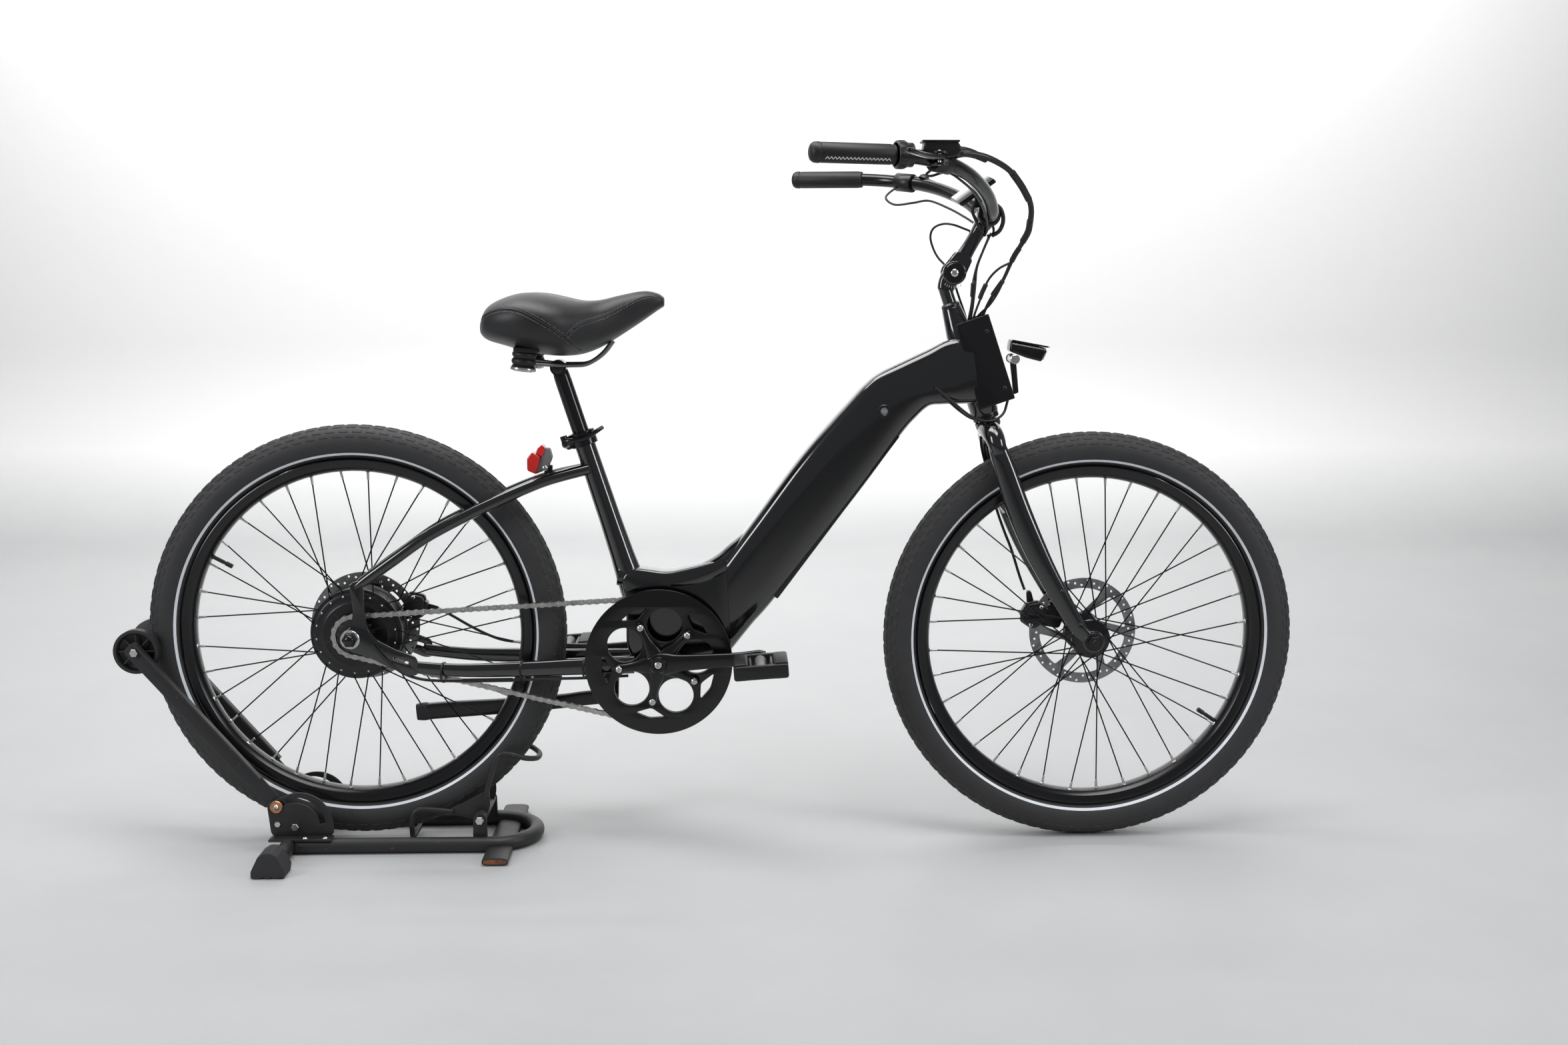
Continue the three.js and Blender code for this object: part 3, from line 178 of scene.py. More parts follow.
class Finish:
    """A material under construction."""

    def __init__(self, name):
        self.material = bpy.data.materials.new(name)
        self.material.use_nodes = True
        self.tree = self.material.node_tree
        self.tree.nodes.clear()

    def node(self, kind, settings=None, *values, out=0, **named):
        """Adds one node: its settings first, then the values or links of its sockets."""
        made = self.tree.nodes.new(kind)
        for key, value in (settings or {}).items():
            if key == "stops":
                ramp = made.color_ramp
                while len(ramp.elements) < len(value):
                    ramp.elements.new(0.5)
                for element, (position, colour) in zip(ramp.elements, value):
                    element.position = position
                    element.color = (*colour, 1)
            else:
                setattr(made, key, value)
        pairs = list(enumerate(values))
        pairs += [(key.replace("_", " "), value) for key, value in named.items()]
        for key, value in pairs:
            if isinstance(value, Value):
                self.tree.links.new(value.socket, made.inputs[key])
            elif isinstance(value, (tuple, list)) and len(value) == 3:
                socket = made.inputs[key]
                rgba = len(socket.default_value) == 4
                socket.default_value = (*value, 1) if rgba else value
            else:
                made.inputs[key].default_value = value
        return Value(self, made.outputs[out]) if len(made.outputs) else None

    def where(self):
        return self.node("ShaderNodeTexCoord", out=3)

    def noise(self, scale, detail=3.0, roughness=0.5, where=None):
        return self.node("ShaderNodeTexNoise", None, Vector=where or self.where(),
                         Scale=scale, Detail=detail, Roughness=roughness)

    def ramp(self, value, *stops):
        grey = [(at, (level,) * 3) for at, level in stops]
        return self.node("ShaderNodeValToRGB", {"stops": grey}, value)

    def blend(self, mask, first, second):
        """first where the mask is 0 and second where it is 1, for colours."""
        made = self.tree.nodes.new("ShaderNodeMix")
        made.data_type = "RGBA"
        for index, value in ((0, mask), (6, first), (7, second)):
            if isinstance(value, Value):
                self.tree.links.new(value.socket, made.inputs[index])
            elif isinstance(value, (tuple, list)):
                made.inputs[index].default_value = (*value, 1)
            else:
                made.inputs[index].default_value = value
        return Value(self, made.outputs[2])

    def bump(self, height, depth_mm, strength=1.0, under=None):
        inputs = {"Strength": strength, "Distance": depth_mm * MM, "Height": height}
        if under is not None:
            inputs["Normal"] = under
        return self.node("ShaderNodeBump", None, **inputs)

    def surface(self, colour, roughness, metallic=0.0, **others):
        """Ends the finish in one Principled shader."""
        shader = self.node("ShaderNodeBsdfPrincipled", None, Base_Color=colour,
                           Roughness=roughness, Metallic=metallic, **others)
        self.node("ShaderNodeOutputMaterial", None, shader)
        return self.material


# %% [markdown]
# ## The finishes
#
# Nearly everything here is black, so what tells the pieces apart is how they shine:
# lacquer with a clear coat, anodised and satin metal, moulded plastic, leatherette,
# tread rubber. Each one gets its own roughness and its own fine relief.

# %% Painted and anodised black metal
def gloss_lacquer():
    made = Finish("gloss_lacquer")
    dust = made.noise(900, 2)
    peel = made.noise(260, 2)
    smears = made.noise(14, 4, 0.6)
    return made.surface(
        made.blend(made.ramp(dust, (0.62, 0), (0.72, 1)), (0.002, 0.002, 0.0024), (0.007, 0.007, 0.008)),
        0.10 + 0.10 * smears, 0.0,
        Normal=made.bump(peel, 0.03, 0.35), Coat_Weight=1.0, Coat_Roughness=0.03,
        Specular_IOR_Level=0.5)


def black_alloy(name, colour, rough, sheen_noise=0.08):
    made = Finish(name)
    grain = made.noise(1400, 2)
    broad = made.noise(30, 3)
    return made.surface(
        made.blend(broad, tuple(0.8 * c for c in colour), tuple(1.25 * c for c in colour)),
        rough - sheen_noise / 2 + sheen_noise * broad, 0.35,
        Normal=made.bump(grain, 0.02, 0.3), Coat_Weight=0.25, Coat_Roughness=0.2)


GLOSS = gloss_lacquer()
RIM_BLACK = black_alloy("rim_black", (0.006, 0.006, 0.007), 0.24)
BAR_BLACK = black_alloy("bar_black", (0.006, 0.006, 0.007), 0.16)
SATIN = black_alloy("satin_black", (0.008, 0.008, 0.009), 0.36)
MOTOR_BLACK = black_alloy("motor_black", (0.007, 0.007, 0.008), 0.4)
CRANK_BLACK = black_alloy("crank_black", (0.004, 0.004, 0.0045), 0.2)


# %% Bright and dark metals
def metal(name, colour, rough, grime=0.2, scale=500):
    made = Finish(name)
    fine = made.noise(scale, 3)
    dirt = made.ramp(made.noise(90, 4, 0.6), (0.45, 0), (0.75, 1))
    tint = made.blend(dirt * grime, colour, tuple(0.25 * c for c in colour))
    return made.surface(tint, rough - 0.06 + 0.12 * fine, 1.0, Normal=made.bump(fine, 0.02, 0.3))


SILVER = metal("silver_steel", (0.62, 0.62, 0.61), 0.26)
CHAIN_STEEL = metal("chain_steel", (0.50, 0.49, 0.47), 0.32, 0.5)
ROTOR_STEEL = metal("rotor_steel", (0.30, 0.30, 0.30), 0.34, 0.4, 900)
TOOTH_STEEL = metal("tooth_steel", (0.07, 0.07, 0.072), 0.4, 0.3)
SPOKE_BLACK = metal("spoke_black", (0.02, 0.02, 0.022), 0.35)
NIPPLE_SILVER = metal("nipple_silver", (0.55, 0.55, 0.55), 0.3)
RAIL_GREY = metal("rail_grey", (0.22, 0.22, 0.23), 0.4)
COPPER = metal("copper_ring", (0.55, 0.27, 0.13), 0.4, 0.4)


# %% Rubber, plastic and leatherette
def plastic(name, colour, rough, texture=800, depth=0.03):
    made = Finish(name)
    fine = made.noise(texture, 2)
    broad = made.noise(40, 3)
    return made.surface(
        made.blend(broad, tuple(0.85 * c for c in colour), tuple(1.2 * c for c in colour)),
        rough - 0.05 + 0.1 * broad, 0.0, Normal=made.bump(fine, depth, 0.5))


PLASTIC = plastic("black_plastic", (0.006, 0.006, 0.0065), 0.36)
GLOSS_PLASTIC = plastic("gloss_plastic", (0.004, 0.004, 0.0045), 0.14, 300, 0.01)
CABLE_BLACK = plastic("cable_black", (0.010, 0.010, 0.011), 0.38, 1500, 0.01)
GREY_PLASTIC = plastic("grey_plastic", (0.16, 0.16, 0.165), 0.5)
FOOT_RUBBER = plastic("foot_rubber", (0.022, 0.022, 0.024), 0.75, 500, 0.08)
ROLLER_PLASTIC = plastic("roller_plastic", (0.014, 0.014, 0.015), 0.5)
GRIP_RUBBER = plastic("grip_rubber", (0.006, 0.006, 0.0065), 0.5, 1800, 0.06)
THREAD_GREY = plastic("thread_grey", (0.20, 0.20, 0.20), 0.7, 3000, 0.02)
THREAD_WHITE = plastic("thread_white", (0.62, 0.62, 0.60), 0.7, 3000, 0.02)
REFLECTIVE_WHITE = plastic("reflective_white", (0.78, 0.80, 0.84), 0.35, 2500, 0.01)


def leatherette():
    made = Finish("leatherette")
    warp = made.noise(60, 2)
    cells = made.node("ShaderNodeTexVoronoi", {"feature": "DISTANCE_TO_EDGE"},
                      Vector=made.where(), Scale=620)
    creases = made.ramp(cells, (0.0, 0), (0.12, 1))
    wrinkles = made.noise(150, 5, 0.65)
    grain = made.bump(creases, 0.10, 0.55)
    return made.surface(
        made.blend(creases, (0.006, 0.006, 0.007), (0.014, 0.014, 0.015)),
        0.30 + 0.14 * wrinkles + 0.05 * warp, 0.0,
        Normal=made.bump(wrinkles, 0.25, 0.35, under=grain))


LEATHERETTE = leatherette()
print("finishes", len(bpy.data.materials))
# %% [markdown]
# ## Shapes
#
# Bicycles are made of a few kinds of piece: things turned on a lathe, tubes bent along a
# path, flat pieces cut from plate, and forgings that change section along their length.
# So there is one helper for each. A shape is plain points in millimetres and faces, and
# two shapes add up to one.


# %% The shape type
class Shape:
    def __init__(self, points=(), faces=()):
        self.points, self.faces = list(points), list(faces)

    def __add__(self, other):
        start = len(self.points)
        moved = [tuple(i + start for i in face) for face in other.faces]
        return Shape(self.points + other.points, self.faces + moved)

    def mirrored(self):
        points = [(x, -y, z) for x, y, z in self.points]
        return Shape(points, [tuple(reversed(face)) for face in self.faces])

    def moved(self, x=0, y=0, z=0):
        return Shape([(a + x, b + y, c + z) for a, b, c in self.points], self.faces)


def together(shapes):
    points, faces = [], []
    for shape in shapes:
        start = len(points)
        points += shape.points
        faces += [tuple(i + start for i in face) for face in shape.faces]
    return Shape(points, faces)


def skin(rings, closed=False, capped=True):
    """The surface through a row of rings with the same number of points."""
    count, rows = len(rings[0]), len(rings)
    faces = []
    for row in range(rows if closed else rows - 1):
        here, there = row * count, ((row + 1) % rows) * count
        for i in range(count):
            j = (i + 1) % count
            faces.append((here + i, here + j, there + j, there + i))
    if capped and not closed:
        faces.append(tuple(reversed(range(count))))
        faces.append(tuple(range((rows - 1) * count, rows * count)))
    return Shape([tuple(p) for ring in rings for p in ring], faces)


# %% Lathe work
def axes_from(direction):
    along = Vector(direction).normalized()
    helper = Vector((0, 0, 1)) if abs(along.z) < 0.9 else Vector((1, 0, 0))
    side = helper.cross(along).normalized()
    return side, along.cross(side), along


def turned(profile, origin=(0, 0, 0), axis=(0, 1, 0), steps=48, closed=False):
    """A profile of (radius, distance along the axis) turned about an axis."""
    side, up, along = axes_from(axis)
    origin = Vector(origin)
    rings = []
    for radius, distance in profile:
        centre = origin + along * distance
        rings.append([
            centre + (side * math.cos(a) + up * math.sin(a)) * radius
            for a in (2 * math.pi * i / steps for i in range(steps))
        ])
    return skin(rings, closed=closed, capped=not closed)


def rod(start, end, radius, end_radius=None, steps=28, edge=0.5):
    """A round bar with slightly eased ends."""
    end_radius = radius if end_radius is None else end_radius
    along = Vector(end) - Vector(start)
    length = along.length
    edge = min(edge, length / 3, radius / 3)
    profile = [(0.01, 0), (radius - edge, 0), (radius, edge), (end_radius, length - edge),
               (end_radius - edge, length), (0.01, length)]
    return turned(profile, start, along, steps)


def dome_bolt(at, axis, radius, height, socket=True):
    """A round-headed bolt with a hollow for the key."""
    curve = [(radius * math.cos(a), height * math.sin(a))
             for a in (math.pi / 2 * i / 5 for i in range(5))]
    if socket:
        inner = radius * 0.45
        curve = [p for p in curve if p[0] > inner]
        curve += [(inner, height * 0.93), (inner, height * 0.3), (0.01, height * 0.3)]
    else:
        curve.append((0.01, height))
    return turned([(0.01, 0), (radius, 0), *curve[1:]], at, axis, 20)


def hex_bolt(at, axis, radius, height):
    profile = [(0.01, 0), (radius, 0), (radius, height * 0.8), (radius * 0.88, height), (0.01, height)]
    return turned(profile, at, axis, 6)


# %% Bent tubes
def flowing(points, per=6, closed=False):
    """Points on a smooth curve through the given ones. Each may hold more than three numbers."""
    rows = [list(p) for p in points]
    count = len(rows)
    spans = count if closed else count - 1
    made = []
    for i in range(spans):
        a, b, c, d = (rows[(i + k) % count] if closed else rows[min(max(i + k, 0), count - 1)]
                      for k in (-1, 0, 1, 2))
        for step in range(per):
            t = step / per
            made.append([
                0.5 * (2 * q + (r - p) * t + (2 * p - 5 * q + 4 * r - s) * t * t
                       + (3 * q - p - 3 * r + s) * t ** 3)
                for p, q, r, s in zip(a, b, c, d)
            ])
    if not closed:
        made.append(rows[-1])
    return made


def tube(points, radius, steps=14, per=6, closed=False):
    """A round tube along a curve. radius may be one number or one for each point."""
    radii = radius if isinstance(radius, (list, tuple)) else [radius] * len(points)
    rows = flowing([(*p, r) for p, r in zip(points, radii)], per, closed)
    centres = [Vector(row[:3]) for row in rows]
    count = len(centres)
    rings, side = [], None
    for i, centre in enumerate(centres):
        before = centres[(i - 1) % count] if closed or i > 0 else centre
        after = centres[(i + 1) % count] if closed or i < count - 1 else centre
        along = (after - before).normalized()
        if side is None:
            side = axes_from(along)[0]
        side = (side - along * side.dot(along)).normalized()
        up = along.cross(side)
        rings.append([
            centre + (side * math.cos(a) + up * math.sin(a)) * rows[i][3]
            for a in (2 * math.pi * k / steps for k in range(steps))
        ])
    return skin(rings, closed=closed)


def there_and_back(half):
    """A path that ends on the middle plane, carried on through its mirror image."""
    return list(half) + [(x, -y, z) for x, y, z in reversed(half[:-1])]


def squircle(half_wide, half_thin, steps=28, power=2.0):
    """Points round an oval (power 2) or a rounded box (higher powers)."""
    found = []
    for i in range(steps):
        a = 2 * math.pi * (i + 0.5) / steps
        c, s = math.cos(a), math.sin(a)
        found.append((half_wide * math.copysign(abs(c) ** (2 / power), c),
                      half_thin * math.copysign(abs(s) ** (2 / power), s)))
    return found


def oval_tube(stations, steps=28, per=5, power=2.0):
    """A forging whose path runs fore and aft: stations are (x, y, z, tall, thin)."""
    rows = flowing(stations, per)
    rings = []
    for i, (x, y, z, tall, thin) in enumerate(rows):
        before, after = rows[max(i - 1, 0)], rows[min(i + 1, len(rows) - 1)]
        along = Vector((after[0] - before[0], 0, after[2] - before[2])).normalized()
        across = Vector((-along.z, 0, along.x))
        rings.append([
            Vector((x, y, z)) + across * a + Vector((0, 1, 0)) * b
            for a, b in squircle(tall / 2, thin / 2, steps, power)
        ])
    return skin(rings)


# %% Flat pieces
def plate(outline, y0, y1, bevel=0.8, holes=(), rounds=2):
    """A flat piece drawn in x and z, between two values of y, with eased edges."""
    curve = bpy.data.curves.new("outline", "CURVE")
    curve.dimensions = "2D"
    curve.fill_mode = "BOTH"
    for ring in (outline, *holes):
        spline = curve.splines.new("POLY")
        spline.points.add(len(ring) - 1)
        for point, (x, z) in zip(spline.points, ring):
            point.co = (x, z, 0, 1)
        spline.use_cyclic_u = True
    low, high = min(y0, y1), max(y0, y1)
    bevel = min(bevel, (high - low) / 2 - 0.01)
    curve.extrude = (high - low) / 2 - bevel
    curve.bevel_depth = bevel
    curve.bevel_resolution = rounds
    curve.offset = -bevel
    holder = bpy.data.objects.new("outline", curve)
    mesh = bpy.data.meshes.new_from_object(holder)
    points = [(v.co.x, (low + high) / 2 - v.co.z, v.co.y) for v in mesh.vertices]
    faces = [tuple(p.vertices) for p in mesh.polygons]
    bpy.data.objects.remove(holder)
    bpy.data.curves.remove(curve)
    bpy.data.meshes.remove(mesh)
    return Shape(points, faces)


def circle(x, z, radius, steps=32):
    return [(x + radius * math.cos(a), z + radius * math.sin(a))
            for a in (2 * math.pi * i / steps for i in range(steps))]


def softened(outline, radius, steps=5):
    """The same outline with its corners rounded."""
    found = []
    count = len(outline)
    for i in range(count):
        before, here, after = (Vector(outline[(i + k) % count]) for k in (-1, 0, 1))
        to_before, to_after = before - here, after - here
        reach = min(radius, to_before.length * 0.45, to_after.length * 0.45)
        a = here + to_before.normalized() * reach
        b = here + to_after.normalized() * reach
        for k in range(steps + 1):
            t = k / steps
            found.append(tuple((1 - t) ** 2 * a + 2 * t * (1 - t) * here + t * t * b))
    return found


def polar(centre, radius, degrees):
    a = math.radians(degrees)
    return centre.x + radius * math.cos(a), centre.z + radius * math.sin(a)


# %% [markdown]
# ## From shape to piece
#
# A piece is a shape with a finish that rides on one body of the frame. Doubled points
# are welded, faces are turned outwards, and edges sharper than a limit stay crisp.


# %% Making a piece
def dress(obj, finish, body, replaces=()):
    obj.data.materials.clear()
    obj.data.materials.append(finish)
    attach(obj, body)
    if replaces:
        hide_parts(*replaces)
    return obj


def piece(name, shape, finish, body, replaces=(), sharp=38, subdivide=0):
    mesh = bpy.data.meshes.new(name)
    mesh.from_pydata([place(p) for p in shape.points], [], shape.faces)
    work = bmesh.new()
    work.from_mesh(mesh)
    bmesh.ops.remove_doubles(work, verts=work.verts, dist=0.01 * MM)
    bmesh.ops.recalc_face_normals(work, faces=work.faces)
    work.to_mesh(mesh)
    work.free()
    mesh.shade_smooth()
    mesh.set_sharp_from_angle(angle=math.radians(sharp))
    obj = bpy.data.objects.new(name, mesh)
    bpy.context.scene.collection.objects.link(obj)
    if subdivide:
        modifier = obj.modifiers.new("rounding", "SUBSURF")
        modifier.levels = modifier.render_levels = subdivide
    return dress(obj, finish, body, replaces)
# %% [markdown]
# ## Floor
#
# A plain pale floor and wall behind, one curved sheet, so the bicycle stands on its own
# shadow and the gloss paint has something pale to mirror. They are not part of the model.


# %% Floor and wall
def backdrop():
    made = Finish("pale_floor")
    clouds = made.noise(1.4, 5, 0.55)
    marks = made.noise(9, 6, 0.6)
    height = made.node("ShaderNodeSeparateXYZ", None, made.where(), out=2)
    wall = made.ramp(height, (0.02, 0), (0.30, 1))
    floor_finish = made.surface(
        made.blend(wall, made.blend(0.6 * clouds + 0.4 * marks, (0.40, 0.405, 0.41), (0.50, 0.50, 0.50)),
                   (0.74, 0.74, 0.73)),
        0.48 + 0.12 * marks, 0.0, Normal=made.bump(marks, 0.3, 0.2))
    across, near, far, top, radius = 9.0, -9.0, 3.8, 4.6, 0.7
    profile = [(near, 0.0)]
    profile += [(far - radius + radius * math.sin(a), radius - radius * math.cos(a))
                for a in (math.pi / 2 * i / 12 for i in range(13))]
    profile.append((far, top))
    points = [(x, y, z) for y, z in profile for x in (-across, across)]
    faces = [(2 * i, 2 * i + 1, 2 * i + 3, 2 * i + 2) for i in range(len(profile) - 1)]
    mesh = bpy.data.meshes.new("floor")
    mesh.from_pydata(points, [], faces)
    mesh.shade_smooth()
    mesh.materials.append(floor_finish)
    obj = bpy.data.objects.new("floor", mesh)
    bpy.context.scene.collection.objects.link(obj)
    return obj


backdrop()
print("floor laid")

# %% [markdown]
# ## Tyres
#
# The tyre is a smooth balloon with a low tread: a plain casing turned on the lathe, a
# raised band of tread, and rows of small blocks moulded in. The blocks are built once and
# set round the band. The white ring on the sidewall is a separate reflective strip.

# %% Tyre
TYRE_HALF = 29.5
CASING_CENTRE = 311.0
CASING_HALF = 28.2
TREAD_ROWS = ((0.0, 5.2, 9.0), (0.42, 4.6, 7.0), (0.80, 4.2, 6.4), (1.12, 3.6, 6.0))
TREAD_PITCH = 96


def casing_point(angle, extra=0.0):
    """A point of the section: angle 0 is the tread centre, positive to one side."""
    reach = CASING_HALF + extra
    return CASING_CENTRE + reach * math.cos(angle), reach * math.sin(angle)


def tyre_casing():
    profile = []
    limit = math.radians(158)
    steps = 40
    for i in range(steps + 1):
        angle = -limit + 2 * limit * i / steps
        radius, across = casing_point(angle)
        across *= min(1.0, TYRE_HALF / CASING_HALF)
        if abs(angle) > math.radians(120):
            across = math.copysign(max(9.0, abs(across)), across)
        profile.append((radius, across))
    inner = [(r + 3.5 if abs(a) < 12 else r, a * 0.86) for r, a in reversed(profile)]
    inner = [(CASING_CENTRE + (r - CASING_CENTRE) * 0.88, a) for r, a in inner]
    return profile + inner


def tread_block(row_angle, turn, long, wide):
    """One moulded block, as a low pyramid with a flat top."""
    corners = []
    for extra, grow in ((-0.6, 1.15), (0.8, 0.86)):
        for s, t in ((-1, -1), (1, -1), (1, 1), (-1, 1)):
            angle = row_angle + s * grow * wide / 2 / CASING_HALF
            radius, across = casing_point(angle, extra)
            round_angle = turn + t * grow * long / 2 / TYRE_RADIUS
            corners.append((radius * math.cos(round_angle), across, radius * math.sin(round_angle)))
    faces = [(4, 5, 6, 7), (0, 1, 5, 4), (1, 2, 6, 5), (2, 3, 7, 6), (3, 0, 4, 7)]
    return Shape(corners, faces)


def tyre(centre, name, body):
    casing = turned(tyre_casing(), centre, (0, 1, 0), 144, closed=True)
    blocks = []
    for row, (angle, wide, long) in enumerate(TREAD_ROWS):
        sides = (1,) if angle == 0 else (1, -1)
        for side in sides:
            for i in range(TREAD_PITCH):
                turn = 2 * math.pi * (i + 0.5 * ((row + (side < 0)) % 2)) / TREAD_PITCH
                blocks.append(tread_block(side * angle, turn, long + 8.5, wide))
    tread = together(blocks).moved(*centre)
    return piece(name + "_tyre_skin", casing + tread, TYRE, body, (name + "_tyre",),
                 sharp=28)


def tyre_finish():
    made = Finish("tyre_tread_rubber")
    dust = made.noise(45, 5, 0.65)
    pores = made.noise(1300, 2)
    colour = made.blend(dust, (0.017, 0.017, 0.018), (0.034, 0.034, 0.035))
    return made.surface(colour, 0.55 + 0.2 * dust, 0.0, Normal=made.bump(pores, 0.05, 0.5))


def sidewall_ring(centre, name, body):
    """The reflective ring, on both sides of the tyre."""
    rings = []
    for side in (1, -1):
        profile = []
        for i in range(7):
            angle = math.radians(122.5 + 9.5 * i / 6)
            radius, across = casing_point(angle, 0.25)
            profile.append((radius, side * across))
        lower = [(r, a - side * 0.5) for r, a in reversed(profile)]
        rings.append(turned(profile + lower, centre, (0, 1, 0), 144, closed=True))
    return piece(name + "_sidewall_ring", together(rings), REFLECTIVE_WHITE, body)


TYRE = tyre_finish()
WHEELS = {
    "front": (FRONT_AXLE, "front_wheel"),
    "rear": (REAR_AXLE, "rear_wheel"),
}
for side, (centre, body) in WHEELS.items():
    tyre(centre, side, body)
    sidewall_ring(centre, side, body)
print("tyres mounted")

# %% [markdown]
# ## Rims and spokes
#
# Each rim is a double-walled hoop with a shallow channel for the tyre. Thirty-six spokes
# run from the hub flange to it in four families, so neighbours lean opposite ways. The
# front wheel is laced three-cross from a small flange; the motor's flange is so large
# that its spokes cross only once.

# %% Rims, spokes and nipples
RIM_OUTER, RIM_INNER = 284.5, 264.0
RIM_HALF = 19.0
SPOKES = 36
SPOKE_RADIUS = 1.15


def rim_profile():
    half = RIM_HALF
    return [
        (RIM_OUTER, -half), (RIM_OUTER - 1.2, -half + 1.6), (RIM_OUTER - 6, -half + 2.2),
        (RIM_OUTER - 9, -half + 6), (RIM_OUTER - 11, 0), (RIM_OUTER - 9, half - 6),
        (RIM_OUTER - 6, half - 2.2), (RIM_OUTER - 1.2, half - 1.6), (RIM_OUTER, half),
        (RIM_OUTER - 1.5, half + 0.6), (RIM_OUTER - 7, half - 0.2), (RIM_OUTER - 13, half - 2.2),
        (RIM_INNER + 3.2, half - 6.5), (RIM_INNER + 0.8, half - 11), (RIM_INNER, 0),
        (RIM_INNER + 0.8, -half + 11), (RIM_INNER + 3.2, -half + 6.5),
        (RIM_OUTER - 13, -half + 2.2), (RIM_OUTER - 7, -half + 0.2), (RIM_OUTER - 1.5, -half - 0.6),
    ]


def lacing(centre, hub_radius, flange, lean):
    """Spokes, nipples and rim eyelets of one wheel."""
    spokes, nipples, eyelets = [], [], []
    for i in range(SPOKES):
        side = 1 if i % 2 else -1
        way = 1 if (i // 2) % 2 else -1
        rim_angle = math.radians((i + 0.5) * 360 / SPOKES)
        hub_angle = rim_angle + way * math.radians(lean)
        rim_way = Vector((math.cos(rim_angle), 0, math.sin(rim_angle)))
        hub_way = Vector((math.cos(hub_angle), 0, math.sin(hub_angle)))
        outer = 1 if way > 0 else 0
        hub_end = centre + hub_way * hub_radius + Vector((0, side * (flange + 2.2 * outer), 0))
        rim_end = centre + rim_way * (RIM_INNER - 1) + Vector((0, side * 5.0, 0))
        along = (rim_end - hub_end).normalized()
        spokes.append(rod(hub_end, rim_end, SPOKE_RADIUS, steps=8, edge=0.2))
        nipples.append(rod(rim_end - along * 12, rim_end + along * 2, 1.9, 2.3, steps=10, edge=0.3))
        eyelets.append(turned([(0.01, 0), (4.0, 0), (3.0, 1.2), (0.01, 1.2)],
                              rim_end + rim_way * 1.6, -rim_way, 12))
    return together(spokes), together(nipples) + together(eyelets)


def valve(centre, degrees):
    """A black valve stem with a capped tip, pointing at the hub."""
    a = math.radians(degrees)
    way = Vector((math.cos(a), 0, math.sin(a)))
    foot = centre + way * (RIM_INNER + 2)
    profile = [(0.01, 0), (4.0, 0), (4.0, 3), (3.3, 4), (3.3, 22), (2.6, 23), (2.6, 24),
               (3.9, 25), (3.9, 35), (3.2, 37), (0.01, 37)]
    return turned(profile, foot, -way, 18)


def wheel(side, hub_radius, flange, lean, valve_degrees):
    centre, body = WHEELS[side]
    name = side + "_rim_and_spokes"
    rim = turned(rim_profile(), centre, (0, 1, 0), 144, closed=True)
    piece(side + "_rim", rim, RIM_BLACK, body, (name,), sharp=24)
    spokes, nipples = lacing(centre, hub_radius, flange, lean)
    piece(side + "_spokes", spokes, SPOKE_BLACK, body)
    piece(side + "_nipples", nipples, NIPPLE_SILVER, body)
    piece(side + "_valve", valve(centre, valve_degrees), PLASTIC, body)


wheel("front", 28, 31, 60, -34)
wheel("rear", 70, 27, 20, 152)
print("wheels laced with", 2 * SPOKES, "spokes")

# %% [markdown]
# ## Hubs
#
# The rear hub is the motor, a flat drum whose covers are ribbed and held by a ring of
# small screws; the front hub is a slim turned barrel with two drilled flanges. Both
# carry a brake rotor on the left and end in nuts and washers on a fixed axle.


# %% Motor, front hub and axles
def motor_drum():
    centre = REAR_AXLE
    profile = [
        (8, -36), (20, -36), (23, -35), (24, -33.6), (52, -33.2), (54, -32), (62, -31.4),
        (66, -31), (68, -30), (69, -27), (74, -26.4), (74.4, -25.6), (74.4, -21), (73, -20),
        (71.5, -18), (71.5, 18), (73, 20), (74.4, 21), (74.4, 25.6), (74, 26.4), (69, 27),
        (68, 30), (66, 31), (52, 33), (24, 34), (22, 37), (8, 37),
    ]
    drum = turned(profile, centre, (0, 1, 0), 96)
    ribs = []
    for i in range(6):
        a = math.radians(60 * i + 15)
        way = Vector((math.cos(a), 0, math.sin(a)))
        ribs.append(rod(centre + way * 25 + Vector((0, -33, 0)),
                        centre + way * 51 + Vector((0, -32.4, 0)), 1.7, 1.1, 12))
    piece("motor_drum", drum + together(ribs), MOTOR_BLACK, "rear_wheel", ("hub_motor",),
          sharp=30)
    screws = []
    for i in range(18):
        x, z = polar(centre, 64.2, 20 * i + 7)
        for side, y in ((-1, -31.2), (1, 31.0)):
            screws.append(dome_bolt((x, y, z), (0, side, 0), 1.9, 1.3))
    piece("motor_cover_screws", together(screws), SILVER, "rear_wheel")


def front_hub_barrel():
    profile = [
        (6, -46), (9.5, -46), (11, -44.5), (11, -40), (15.5, -38.5), (15.5, -35.5), (20, -34),
        (31, -32.8), (32, -32), (32, -30), (31, -29.2), (19, -27), (16.5, -22), (15.5, -10),
        (15.5, 10), (16.5, 22), (19, 26), (31, 29.2), (32, 30), (32, 32), (31, 32.8),
        (24, 33.5), (24, 38), (15.5, 40), (11, 42), (11, 45), (9.5, 46), (6, 46),
    ]
    return turned(profile, FRONT_AXLE, (0, 1, 0), 64)


